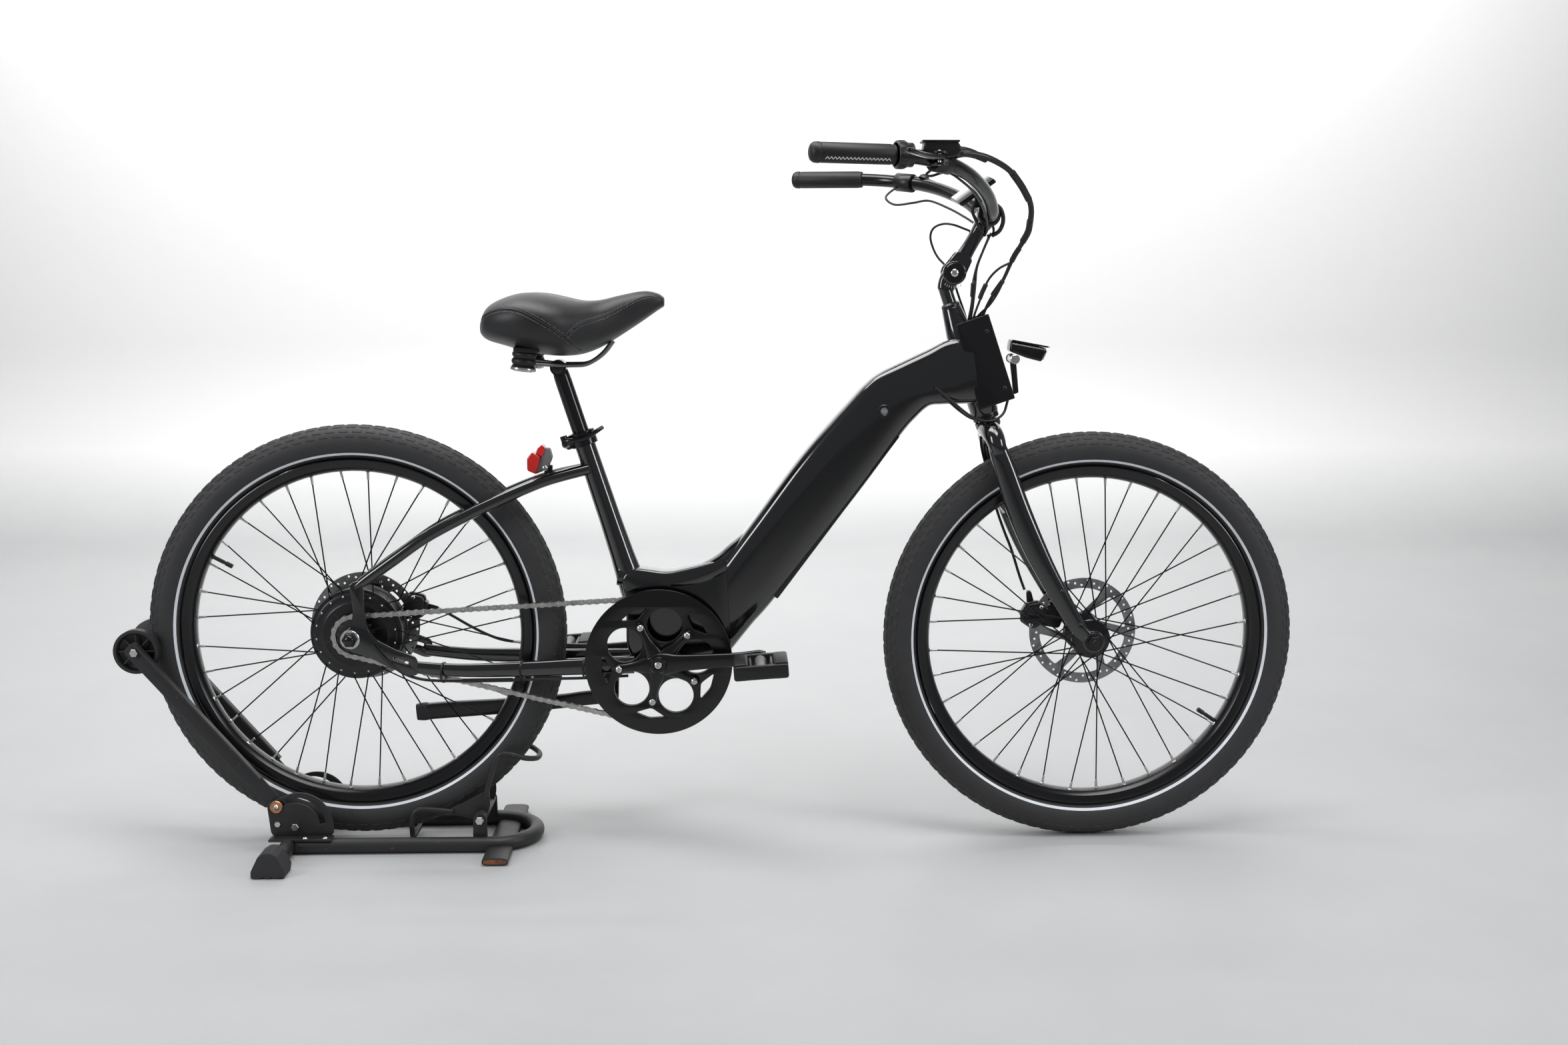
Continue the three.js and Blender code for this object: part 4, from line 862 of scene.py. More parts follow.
def axle_end(centre, side, inner, nut_y, nut_radius=12.5, dome=True):
    """Washer, nut and threaded end on one side."""
    at = centre + Vector((0, side * inner, 0))
    washer = turned([(5, 0), (15.5, 0), (15.5, 1.6), (14.8, 2.2), (5, 2.2)], at, (0, side, 0), 40)
    nut = turned([(5, 2.2), (nut_radius, 2.2), (nut_radius, nut_y * 0.75), (nut_radius * 0.9, nut_y),
                  (5, nut_y)], at, (0, side, 0), 6)
    cap_profile = [(nut_radius * 0.72, nut_y - 0.5), (nut_radius * 0.7, nut_y + 1.5),
                   (nut_radius * 0.5, nut_y + 4.2), (nut_radius * 0.2, nut_y + 5.4), (0.01, nut_y + 5.6)]
    end_profile = [(4.9, nut_y - 1), (4.9, nut_y + 2.4), (4.2, nut_y + 3), (0.01, nut_y + 3)]
    cap = turned([(0.01, nut_y - 1)] + (cap_profile if dome else end_profile), at, (0, side, 0), 32)
    return washer, nut + cap


motor_drum()
piece("front_hub_barrel", front_hub_barrel(), BAR_BLACK, "front_wheel", ("front_hub",),
      sharp=30)
print("hubs in")
# %% [markdown]
# ## The frame's main tube
#
# On the real bicycle the low main tube is one big moulded or hydroformed section: it
# starts as a tall wedge at the crank and sweeps up to the steering head, with a battery
# slid into it from below. A loft through rounded-box sections gives those long soft
# faces; each section is pinned by a point on the tube's top line and one on its belly.

# %% Down tube
DOWN_TUBE = (
    ((2.3, 477.7), (8.6, 320.7), 37.0),
    ((20, 501.5), (44, 365), 37.0),
    ((50, 542), (84, 411.5), 37.0),
    ((128.6, 647.9), (217.7, 582), 37.0),
    ((207, 737.7), (284.4, 673.8), 37.0),
    ((228, 760), (309, 703), 37.0),
    ((250, 777.5), (331, 722.5), 36.6),
    ((290, 797), (352, 725.5), 35.0),
    ((330, 815.5), (378, 726), 32.6),
    ((362, 831), (395, 726.5), 30.6),
    ((398, 838), (412, 727), 29.4),
)


def lofted(stations, steps=40, per=8, power=4.0, shrink=0.0):
    """A skin through sections given by (top x, z), (bottom x, z) and half width."""
    rows = flowing([(*top, *bottom, half) for top, bottom, half in stations], per)
    rings = []
    for x0, z0, x1, z1, half in rows:
        top, bottom = Vector((x0, 0, z0)), Vector((x1, 0, z1))
        middle, across = (top + bottom) / 2, (top - bottom) / 2
        tall = across.length - shrink
        across = across.normalized()
        rings.append([middle + across * a + Vector((0, b, 0))
                      for a, b in squircle(tall, half - shrink, steps, power)])
    return skin(rings)


main_tube = lofted(DOWN_TUBE)
piece("main_tube", main_tube, GLOSS, "frame", ("down_tube",), sharp=50)
print("main tube", len(main_tube.points), "points")

# %% [markdown]
# ## The crank junction and the step
#
# Below the step the frame is a box of plates: it holds the crank axle, closes the foot of
# the main tube and rises into the seat tube. Its top is the low step a rider swings over.
# A big bevel on one thick plate gives it the rounded shoulders of a casting.

# %% Junction
JUNCTION = ((-172, 446), (-150, 461), (-94, 452.5), (-42, 464), (12, 480), (14, 322),
            (-20, 312), (-70, 298), (-96, 289), (-122, 289), (-150, 300), (-163, 330), (-163, 400))
STEP_TUBE = (
    (-176, 0, 446, 34, 44), (-150, 0, 442, 36, 46), (-94, 0, 433, 38, 48),
    (-42, 0, 444, 38, 50), (-4, 0, 462, 40, 52), (22, 0, 484, 40, 50), (44, 0, 510, 26, 34),
)
junction = plate(softened(JUNCTION, 14), -24, 24, bevel=7, rounds=4)
step = oval_tube(STEP_TUBE, 32, 6, 2.6)
piece("crank_junction", junction + step, GLOSS, "frame", ("bottom_bracket_junction",),
      sharp=50)
shell = turned([(12, -34), (20.5, -34), (22, -32.5), (22, 32.5), (20.5, 34), (12, 34)],
               CRANK, (0, 1, 0), 56, closed=True)
cups = together([turned([(9, 33), (19, 33), (20.5, 34), (20.5, 37), (19, 38), (9, 38)], CRANK,
                        (0, side, 0), 40, closed=True) for side in (1, -1)])
piece("crank_bearing_shell", shell, GLOSS, "frame")
piece("crank_bearing_cups", cups, SATIN, "frame")

# %% [markdown]
# ## Seat tube, clamp and head tube
#
# The seat tube is a plain gloss tube that swells into the junction. Its collar has a
# split ear behind and a cam lever along its side. The head tube carries the fork between two
# cups; the fillet of weld bead where the main tube meets it is not drawn.

# %% Seat tube and clamp
SEAT_LEAN = math.radians(17.8)
SEAT_FOOT = Vector((-165.8, 0, 470))
SEAT_WAY = Vector((-math.sin(SEAT_LEAN), 0, math.cos(SEAT_LEAN)))
SEAT_ACROSS = Vector((SEAT_WAY.z, 0, -SEAT_WAY.x))


def on_seat(z, across=0.0, y=0.0):
    """A point of the seat tube's own line at a height, moved across it if asked."""
    along = (z - SEAT_FOOT.z) / SEAT_WAY.z
    return SEAT_FOOT + SEAT_WAY * along + SEAT_ACROSS * across + Vector((0, y, 0))


tube_rings = [(376, 22.0), (400, 24.0), (440, 22.4), (480, 19.8), (540, 18.0), (640, 17.0), (678, 17.0)]
foot = on_seat(tube_rings[0][0])
seat_profile = [(0.01, 0)] + [(r, (on_seat(z) - foot).length) for z, r in tube_rings]
seat_end = seat_profile[-1][1]
seat_profile += [(14.2, seat_end), (14.2, seat_end - 12), (0.01, seat_end - 12)]
piece("seat_tube_skin", turned(seat_profile, foot, SEAT_WAY, 56), GLOSS, "frame", ("seat_tube",),
      sharp=40)

collar_foot = on_seat(660)
collar = turned([(17.2, 0), (21.2, 0), (22, 0.8), (22, 22), (21.2, 23), (17.2, 23)], collar_foot,
                SEAT_WAY, 56, closed=True)
ear = rod(on_seat(671, -28, -9.3), on_seat(671, -28, 9.3), 7.5, steps=28)
ear_web = plate(softened([tuple((on_seat(661, -30).x, on_seat(661, -30).z)),
                          (on_seat(681, -30).x, on_seat(681, -30).z),
                          (on_seat(681, -18).x, on_seat(681, -18).z),
                          (on_seat(661, -18).x, on_seat(661, -18).z)], 4), -9, 9, 1.2)
piece("seat_clamp_collar", collar + ear_web, BAR_BLACK, "frame", ("seat_clamp",))
piece("seat_clamp_barrel", ear, SILVER, "frame")

# %% Head tube
HEAD_LEAN = math.radians(18.5)
HEAD_FOOT = Vector((428.5, 0, 698.4))
HEAD_WAY = Vector((-math.sin(HEAD_LEAN), 0, math.cos(HEAD_LEAN)))
HEAD_ACROSS = Vector((HEAD_WAY.z, 0, -HEAD_WAY.x))


def on_head(along, across=0.0, y=0.0):
    """A point of the steering head: distance up it and distance in front of it."""
    return HEAD_FOOT + HEAD_WAY * along + HEAD_ACROSS * across + Vector((0, y, 0))


head_profile = [(15.2, 12), (22, 12), (23, 13.5), (23, 140), (22.4, 144), (15.9, 192), (15.2, 193)]
head_tube = turned(head_profile, HEAD_FOOT, HEAD_WAY, 56, closed=True)
piece("head_tube_skin", head_tube, GLOSS, "frame", ("head_tube",))
lower_cup = turned([(15.0, 3), (20.5, 3), (21.5, 4), (21.5, 8), (20.4, 8.6), (21.5, 9.2),
                    (21.5, 14), (15.0, 14)], HEAD_FOOT, HEAD_WAY, 48, closed=True)
piece("head_lower_cup", lower_cup, SATIN, "frame")

# %% [markdown]
# ## Stays and dropouts
#
# Two flattened chainstays and two thin round seatstays hold the rear wheel. They meet in
# a plate dropout, cut from thick sheet. A small slot is punched near its corner and the
# welds are ground smooth before painting.

# %% Rear stays
CHAINSTAY = ((-506, 67, 308, 20, 12), (-430, 62, 301, 22, 13), (-345, 53.5, 300, 25, 15),
             (-250, 37, 300, 28, 17), (-150, 28, 301, 30, 18))
SEATSTAY = ((-592, 68.5, 438.5), (-572, 66, 452.5), (-530, 65, 482), (-480, 61, 517), (-420, 54, 549),
            (-362, 47, 576), (-320, 39, 594), (-281, 30, 608), (-222, 12, 622))
DROPOUT = ((-600, 446), (-578, 452), (-577, 396), (-572, 369), (-559, 354), (-532, 339),
           (-496, 325), (-494, 296), (-508, 294), (-540, 308), (-572, 325), (-601, 336),
           (-616, 350), (-615, 366), (-600, 374), (-595, 400))


def one_side(side):
    stay = oval_tube([(x, side * y, z, tall, thin) for x, y, z, tall, thin in CHAINSTAY], 24, 6)
    slot = softened([(-534, 321), (-533, 326), (-509, 318), (-510, 313)], 2.4)
    dropout = plate(softened(DROPOUT, 7), side * 67.5, side * 73.5, 1.4, [slot])
    return stay + dropout


piece("right_chainstay_skin", one_side(-1), GLOSS, "frame", ("right_chainstay",),
      sharp=40)
piece("left_chainstay_skin", one_side(1), GLOSS, "frame", ("left_chainstay",),
      sharp=40)
stay = tube(SEATSTAY, [5.5, 9.0] + [9.5] * (len(SEATSTAY) - 2), 20)
bridge = rod((-345, -44, 583), (-345, 44, 583), 6.5)
piece("seatstay_pair", stay + stay.mirrored() + bridge, GLOSS, "frame", ("seatstays",))
print("frame welded")

# %% [markdown]
# ## Battery, lock and charge socket
#
# The pack slides in behind a cover that sits just proud of the tube's belly. Only its
# edge and its lock show from the side: a ring pressed into the tube with a turning core.

# %% Battery and lock
BATTERY_FOOT = Vector((84, 0, 409.5))
BATTERY_WAY = Vector((0.5977, 0, 0.8017))
BATTERY_LENGTH = 332
BATTERY_HALF = 28


def battery_cover():
    out = Vector((BATTERY_WAY.z, 0, -BATTERY_WAY.x))
    low, high = -11.0, 1.5
    corners = [(0, low), (0, high), (BATTERY_LENGTH, high), (BATTERY_LENGTH, low)]
    outline = [(BATTERY_FOOT + BATTERY_WAY * a + out * b) for a, b in corners]
    return plate(softened([(p.x, p.z) for p in outline], 2.5), -BATTERY_HALF, BATTERY_HALF, 2.4, rounds=3)


piece("battery_cover", battery_cover(), GLOSS_PLASTIC, "battery", ("battery_pack",))

LOCK = Vector((256.8, -38, 716.6))
lock_ring = turned([(6.2, -1.2), (10.6, -1.2), (10.6, 0.4), (9.6, 1.3), (7, 1.3), (6.2, 0.6)], LOCK,
                   (0, -1, 0), 40, closed=True)
piece("battery_lock_ring", lock_ring, SATIN, "frame")
lock_core = turned([(0.01, -2), (6, -2), (6, 0.3), (5.4, 0.8), (2.0, 0.8), (1.6, 0), (0.01, 0)],
                   LOCK, (0, -1, 0), 32)
key_slot = plate([(LOCK.x - 4, LOCK.z - 0.8), (LOCK.x + 4, LOCK.z - 0.8), (LOCK.x + 4, LOCK.z + 0.8),
                  (LOCK.x - 4, LOCK.z + 0.8)], -39.2, -38.4, 0.2)
piece("battery_lock_core", lock_core + key_slot, SILVER, "battery_lock", ("battery_lock",))
print("battery in")
# %% [markdown]
# ## Saddle
#
# The saddle is foam under stretched leatherette: a broad padded tail that pinches to a
# narrow nose. We loft a coarse cage of cross sections, let subdivision relax it the way
# the cover is pulled smooth over the foam, and press a shallow channel down the middle.

# %% Saddle cushion
SADDLE = (
    (-387, 852, 842, 34), (-384, 868, 836, 60), (-374, 886, 829, 84), (-350, 900, 822, 105),
    (-318, 909, 813, 118), (-285, 908, 807, 119), (-255, 902, 805, 108), (-226, 896, 808, 84),
    (-197, 897, 819, 59), (-165, 904, 838, 43), (-130, 910, 861, 33), (-107, 906, 877, 25),
    (-96, 898, 884, 15),
)
CHANNEL_DEPTH = 7.0
SADDLE_STEPS = 48


def saddle_section(x, top, bottom, half):
    """One cross section: a domed top with a channel, round sides, a tucked-in lower edge."""
    ring = []
    skirt = top - bottom
    crown = min(14.0, half * 0.22)
    for i in range(SADDLE_STEPS):
        a = 2 * math.pi * i / SADDLE_STEPS
        c, s = math.cos(a), math.sin(a)
        y = half * math.copysign(abs(c) ** 0.75, c)
        if s >= 0:
            z = top - skirt * 0.46 + (skirt * 0.46) * abs(s) ** 0.8
            dip = CHANNEL_DEPTH * min(1.0, half / 110)
            z -= dip * math.exp(-(y / (0.26 * half + 4)) ** 2)
            z -= crown * 0.15 * (abs(y) / half) ** 2
        else:
            tuck = 1 - 0.16 * abs(s)
            y *= tuck
            z = top - skirt * 0.46 - (skirt * 0.54) * abs(s) ** 0.55
        ring.append((x, y, z))
    return ring


def saddle_rows(per=5):
    return [saddle_section(*row) for row in flowing(SADDLE, per)]


saddle_rings = saddle_rows()
cushion = piece("saddle_cover", skin(saddle_rings), LEATHERETTE, "saddle", ("saddle_cushion",),
                sharp=180, subdivide=1)
print("saddle cover", len(saddle_rings), "sections")

# %% [markdown]
# ## Seams
#
# Two panels meet in a welt with a row of stitches on either side. The welt is a thin
# tube laid on the cover, and each stitch a short thread, so they follow the cushion.


# %% Seams and stitches
def on_cover(x, height, side, lift=0.3):
    """A point on the cushion's flank at a length along it and a share of its height."""
    rows = flowing(SADDLE, 12)
    row = min(rows, key=lambda r: abs(r[0] - x))
    ring = saddle_section(*row)
    top, bottom = row[1], row[2]
    level = bottom + (top - bottom) * height
    flank = [p for p in ring if p[1] * side > row[3] * 0.3]
    near = sorted(flank, key=lambda p: abs(p[2] - level))[:2]
    (_, y0, z0), (_, y1, z1) = near
    share = 0.5 if abs(z1 - z0) < 1e-6 else min(1.0, max(0.0, (level - z0) / (z1 - z0)))
    y = y0 + (y1 - y0) * share
    return Vector((x, y + side * lift, level))


def seam(route, side, offset):
    """Stitches along one side of a welt."""
    points = [on_cover(x, h + offset, side, 0.5) for x, h, *_ in flowing([(x, h, 0) for x, h in route], 14)]
    stitches, travelled = [], 0.0
    for a, b in zip(points, points[1:]):
        travelled += (b - a).length
        if travelled > 2.4:
            way = (b - a).normalized()
            stitches.append(rod(a - way * 0.8, a + way * 0.8, 0.45, steps=6, edge=0.15))
            travelled = 0.0
    return together(stitches)


def welt(route, side):
    points = [tuple(on_cover(x, h, side, 0.1)) for x, h, *_ in flowing([(x, h, 0) for x, h in route], 6)]
    return tube(points, 0.9, 8, 2)


REAR_SEAM = ((-380, 0.72), (-352, 0.74), (-322, 0.70), (-290, 0.58), (-262, 0.44), (-240, 0.26),
             (-226, 0.08))
FRONT_SEAM = ((-246, 0.34), (-236, 0.46), (-224, 0.56), (-205, 0.60), (-180, 0.62), (-155, 0.68),
              (-130, 0.76), (-112, 0.74), (-100, 0.56))
welts = together([welt(route, side) for route in (REAR_SEAM, FRONT_SEAM) for side in (1, -1)])
piece("saddle_welts", welts, LEATHERETTE, "saddle")
threads = together([seam(route, side, offset) for route in (REAR_SEAM, FRONT_SEAM)
                    for side in (1, -1) for offset in (0.045, -0.045)])
piece("saddle_stitches", threads, THREAD_GREY, "saddle")

# %% [markdown]
# ## Under the saddle
#
# A wire frame carries the shell: two rails pass through the seatpost head and end at a
# crosspiece held by two rubber bellows, each with a metal ring round its foot.


# %% Rails, bellows and seatpost
def bellows(side):
    foot = Vector((-318, side * 62, 783))
    profile = [(0.01, 0), (15, 0), (18.5, 2), (19.5, 5), (18, 8), (16.5, 9.5), (19, 13), (19.5, 16),
               (18, 19), (16.5, 20.5), (19, 24), (19.5, 27), (18, 30), (0.01, 31)]
    return turned(profile, foot, (0.12, 0, 1), 40)


def bellows_ring(side):
    foot = Vector((-318, side * 62, 783))
    profile = [(17.8, 1.2), (19.6, 1.2), (20.2, 2.4), (20.2, 4.8), (19.6, 6), (17.8, 6)]
    return turned(profile, foot, (0.12, 0, 1), 40, closed=True)


rail = tube([(-328, 60, 797), (-300, 40, 794), (-270, 23, 791), (-240, 22, 790.5), (-222, 22, 792),
             (-206, 20, 800), (-192, 18, 812), (-180, 16, 828)], 3.6, 12)
crossbar = rod((-326, -64, 797), (-326, 64, 797), 3.6)
piece("saddle_rail_pair", rail + rail.mirrored() + crossbar, RAIL_GREY, "saddle",
      ("saddle_rails",))
piece("saddle_bellows", bellows(1) + bellows(-1), GRIP_RUBBER, "saddle")
piece("saddle_bellows_rings", bellows_ring(1) + bellows_ring(-1), SILVER, "saddle")
plates = together([plate(softened([(-330, 814), (-290, 812), (-290, 819), (-330, 822)], 3),
                         side * 42, side * 84, 1.5) for side in (1, -1)])
piece("saddle_base_plates", plates, PLASTIC, "saddle")

post_foot = on_seat(560)
post_length = (on_seat(776) - post_foot).length
post_profile = [(0.01, 0), (12.6, 0), (13.6, 1), (13.6, post_length - 14), (13.2, post_length - 2),
                (12.2, post_length + 4), (0.01, post_length + 6)]
post_head = rod(on_seat(786, 0, -17), on_seat(786, 0, 17), 13)
post_bolt = rod(on_seat(786, 0, -21), on_seat(786, 0, 21), 4.2)
head_caps = together([turned([(0.01, 0), (9.5, 0), (9.5, 2.2), (8.4, 3), (0.01, 3)],
                             on_seat(786, 0, side * 17), (0, side, 0), 28) for side in (1, -1)])
piece("seatpost_tube", turned(post_profile, post_foot, SEAT_WAY, 48) + post_head, BAR_BLACK,
      "seatpost", ("seatpost",))
piece("seatpost_head_bolt", post_bolt + head_caps, SATIN, "seatpost")

CAM = on_seat(671) + Vector((-28, -15.6, -3))
cam_path = [CAM + Vector((-1, -4, 0)), CAM + Vector((10, -10, 1)), on_seat(672, 6, -27.5),
            on_seat(676, 26, -23), on_seat(679, 38, -17)]
cam_blade = tube([tuple(p) for p in cam_path], [4.5, 4.2, 4, 3.8, 3.2], 14)
cam_drum = rod(CAM - SEAT_WAY * 9, CAM + SEAT_WAY * 8.5, 5.8)
piece("seat_clamp_cam_lever", cam_blade + cam_drum, BAR_BLACK, "seat_clamp_lever",
      ("seat_clamp_lever",))
print("saddle and post fitted")

# %% [markdown]
# ## Chain
#
# A bushed roller chain is two kinds of link in turn: an inner pair of plates with rollers
# between them and an outer pair riveted over it. We walk the pitch along the loop round
# both toothed rings and set one link at each step.

# %% Chain links
PITCH = 12.7
CHAIN_Y = -46.0
RING_TEETH, COG_TEETH = 52, 16
RING_RADIUS = PITCH / 2 / math.sin(math.pi / RING_TEETH)
COG_RADIUS = PITCH / 2 / math.sin(math.pi / COG_TEETH)


def chain_loop():
    """The closed run of the chain: two straights and two arcs, as evenly spaced pins."""
    gap = CRANK - REAR_AXLE
    base = math.atan2(gap.z, gap.x)
    distance = math.hypot(gap.x, gap.z)
    tilt = math.asin((RING_RADIUS - COG_RADIUS) / distance)
    up, down = base + math.pi / 2 + tilt, base - math.pi / 2 - tilt

    def rim(centre, radius, a):
        return Vector((centre.x + radius * math.cos(a), CHAIN_Y, centre.z + radius * math.sin(a)))

    points = [rim(REAR_AXLE, COG_RADIUS, up), rim(CRANK, RING_RADIUS, up)]
    steps = 90
    points += [rim(CRANK, RING_RADIUS, up + (down - up) * i / steps) for i in range(1, steps + 1)]
    points.append(rim(REAR_AXLE, COG_RADIUS, down))
    back = up + 2 * math.pi - (down + 2 * math.pi)
    turn = down - (2 * math.pi - abs(back)) if back < 0 else down - (2 * math.pi - back)
    points += [rim(REAR_AXLE, COG_RADIUS, down + (turn - down) * i / steps) for i in range(1, steps)]
    return points


def along_loop(points, count):
    lengths = [0.0]
    ring = points + [points[0]]
    for a, b in zip(ring, ring[1:]):
        lengths.append(lengths[-1] + (b - a).length)
    total, found, k = lengths[-1], [], 0
    for i in range(count):
        wanted = total * i / count
        while lengths[k + 1] < wanted:
            k += 1
        share = (wanted - lengths[k]) / max(lengths[k + 1] - lengths[k], 1e-9)
        found.append(ring[k].lerp(ring[k + 1], share))
    return found, total


def link_plate(a, b, y0, y1, waist, round_radius):
    """One figure-of-eight plate between two pins."""
    way = (b - a).normalized()
    across = Vector((-way.z, 0, way.x))
    centre = (a + b) / 2
    outline = []
    for end, sign in ((b, 1), (a, -1)):
        for k in range(7):
            t = math.radians(-110 + 220 * k / 6)
            p = end + way * sign * math.cos(t) * round_radius + across * sign * math.sin(t) * round_radius
            outline.append(p)
        outline.append(centre + across * sign * waist)
    low = [Vector((p.x, y0, p.z)) for p in outline]
    high = [Vector((p.x, y1, p.z)) for p in outline]
    return skin([low, high])


def chain():
    loop = chain_loop()
    rough = sum((b - a).length for a, b in zip(loop, loop[1:] + loop[:1]))
    count = 2 * round(rough / PITCH / 2)
    pins, total = along_loop(loop, count)
    plates_made, rollers = [], []
    for i, (a, b) in enumerate(zip(pins, pins[1:] + pins[:1])):
        inner, outer = (2.0, 3.0) if i % 2 else (3.1, 4.1)
        for side in (1, -1):
            plates_made.append(link_plate(a, b, CHAIN_Y + side * inner, CHAIN_Y + side * outer, 2.9, 4.3))
        rollers.append(rod(a - Vector((0, 2.0, 0)), a + Vector((0, 2.0, 0)), 3.85, steps=12, edge=0.3))
        rollers.append(rod(a - Vector((0, 4.9, 0)), a + Vector((0, 4.9, 0)), 1.7, steps=10, edge=0.3))
    print("chain", count, "links,", round(total), "mm")
    return together(plates_made) + together(rollers)


piece("chain_links", chain(), CHAIN_STEEL, "frame", ("chain",), sharp=30)

# %% [markdown]
# ## Toothed rings
#
# Teeth are cut from plate. Between two rollers the blank keeps a pointed tooth, and the
# rollers rest in round pockets, so the outline is one pocket and one tip per tooth.


# %% Chainring, guard and sprocket
def toothed(centre, teeth, pitch_radius, inner_holes, y0, y1, bevel=0.5):
    outline = []
    for i in range(teeth):
        a = 360 * i / teeth
        step = 360 / teeth
        for share, radius in ((0.0, -3.95), (0.16, -3.2), (0.28, -0.8), (0.42, 2.0), (0.5, 2.5),
                              (0.58, 2.0), (0.72, -0.8), (0.84, -3.2)):
            outline.append(polar(centre, pitch_radius + radius, a + step * share))
    return plate(outline, y0, y1, bevel, inner_holes, 1)


BOLT_ANGLE = 44.5
BOLT_CIRCLE = 65.0
SPIDER_ARMS = [BOLT_ANGLE + 72 * k for k in range(5)]
RIGHT_CRANK_ANGLE = 4.1
GUARD_RADIUS = 120


def guard_windows():
    """Round windows between the bolts and three-cornered ones outside each of them."""
    windows = []
    for angle in SPIDER_ARMS:
        x, z = polar(CRANK, 62, angle + 36)
        windows.append(circle(x, z, 28.5, 40))
        corners = [polar(CRANK, 77, angle), polar(CRANK, 92, angle - 15.5), polar(CRANK, 94.5, angle),
                   polar(CRANK, 92, angle + 15.5)]
        windows.append(softened(corners, 5, 4))
    return windows


piece("chain_guard", plate(circle(CRANK.x, CRANK.z, GUARD_RADIUS, 128), -53.5, -50.5, 0.8,
                           guard_windows()), CRANK_BLACK, "crankset", ("chainring",))
ring_holes = guard_windows() + [circle(CRANK.x, CRANK.z, 28, 48)]
ring = toothed(CRANK, RING_TEETH, RING_RADIUS, ring_holes, -47.4, -44.6)
piece("chainring_teeth", ring, TOOTH_STEEL, "crankset")
cog = toothed(REAR_AXLE, COG_TEETH, COG_RADIUS, [circle(REAR_AXLE.x, REAR_AXLE.z, 17.5, 40)], -47.3, -44.7)
lock_ring = turned([(11, -50), (20, -50), (21, -49), (21, -44), (11, -44)], REAR_AXLE, (0, 1, 0), 40,
                   closed=True)
cog_body = turned([(11, -47), (20, -47), (20, -37.5), (11, -37.5)], REAR_AXLE, (0, 1, 0), 40, closed=True)
piece("rear_cog", cog + lock_ring + cog_body, TOOTH_STEEL, "rear_sprocket", ("rear_sprocket",))

# %% [markdown]
# ## Cranks
#
# The right crank is one forging: five arms that carry the ring and one long arm that
# carries the pedal. Sections swell at both eyes. The left one is the same arm alone.


# %% Spider, arms and bolts
def arm(angle, length, y_root, y_tip, side):
    """A tapered crank arm as a loft from the axle eye to the pedal eye."""
    a = math.radians(angle)
    way = Vector((math.cos(a), 0, math.sin(a)))
    stations = []
    for share, tall, thin in ((-0.10, 26, 14), (-0.04, 35, 17), (0.06, 37, 18), (0.2, 29, 16),
                              (0.45, 25, 13.5), (0.75, 23, 12.5), (0.92, 25, 12.5), (1.0, 26, 12.5),
                              (1.06, 20, 12)):
        p = CRANK + way * length * share
        y = y_root + (y_tip - y_root) * max(0.0, min(1.0, share * 1.4))
        stations.append((p.x, side * y, p.z, tall, thin))
    return oval_tube(stations, 28, 5, 2.8)


def spider():
    arms = []
    for angle in SPIDER_ARMS:
        a = math.radians(angle)
        way = Vector((math.cos(a), 0, math.sin(a)))
        stations = []
        for radius, wide, thick, y in ((8, 30, 13, -61), (22, 25, 12.5, -61), (38, 16, 11.5, -60),
                                       (54, 13, 10, -59.5), (66, 14.5, 9, -59), (71, 11, 8.5, -59),
                                       (74.5, 5, 8, -59)):
            p = CRANK + way * radius
            stations.append((p.x, y, p.z, wide, thick))
        arms.append(oval_tube(stations, 24, 5, 2.6))
    hub = turned([(0.01, -68), (15, -68), (19, -66), (20.5, -62), (20.5, -55), (19, -53), (12, -41),
                  (0.01, -41)], CRANK, (0, 1, 0), 56)
    return together(arms) + hub


def pedal_axle_place(angle, side):
    x, z = polar(CRANK, 165, angle)
    return Vector((x, side, z))


right_arm = arm(RIGHT_CRANK_ANGLE, 165, 66, 77.5, -1)
piece("right_crank_forging", spider() + right_arm, CRANK_BLACK, "crankset", ("right_crank",),
      sharp=50)
left_hub = turned([(0.01, 41), (15, 41), (18.5, 46), (19, 60), (17, 74), (0.01, 76)], CRANK, (0, 1, 0), 48)
piece("left_crank_forging", arm(RIGHT_CRANK_ANGLE + 180, 165, 66, 77.5, 1) + left_hub, CRANK_BLACK,
      "crankset", ("left_crank",), sharp=50)
bolts = together([dome_bolt((*polar(CRANK, BOLT_CIRCLE, a)[:1], -63, polar(CRANK, BOLT_CIRCLE, a)[1]),
                            (0, -1, 0), 5.6, 3) for a in SPIDER_ARMS])
crank_bolt = dome_bolt((CRANK.x, -76, CRANK.z), (0, -1, 0), 7.2, 3.6)
piece("chainring_bolts", bolts + crank_bolt, SILVER, "crankset")
bolt_collar = turned([(7.4, -79), (12.5, -79), (14, -77), (15, -66), (7.4, -66)], CRANK, (0, 1, 0), 40,
                     closed=True)
piece("crank_bolt_collar", bolt_collar, CRANK_BLACK, "crankset")

# %% [markdown]
# ## Pedals
#
# A moulded block pedal: an outer frame with a window at each end, soft tread strips on
# its long sides and a barrel that turns on the axle.


# %% Pedals
PEDAL_TILT = math.radians(4)
PEDAL_LONG, PEDAL_THICK = 87.0, 27.0


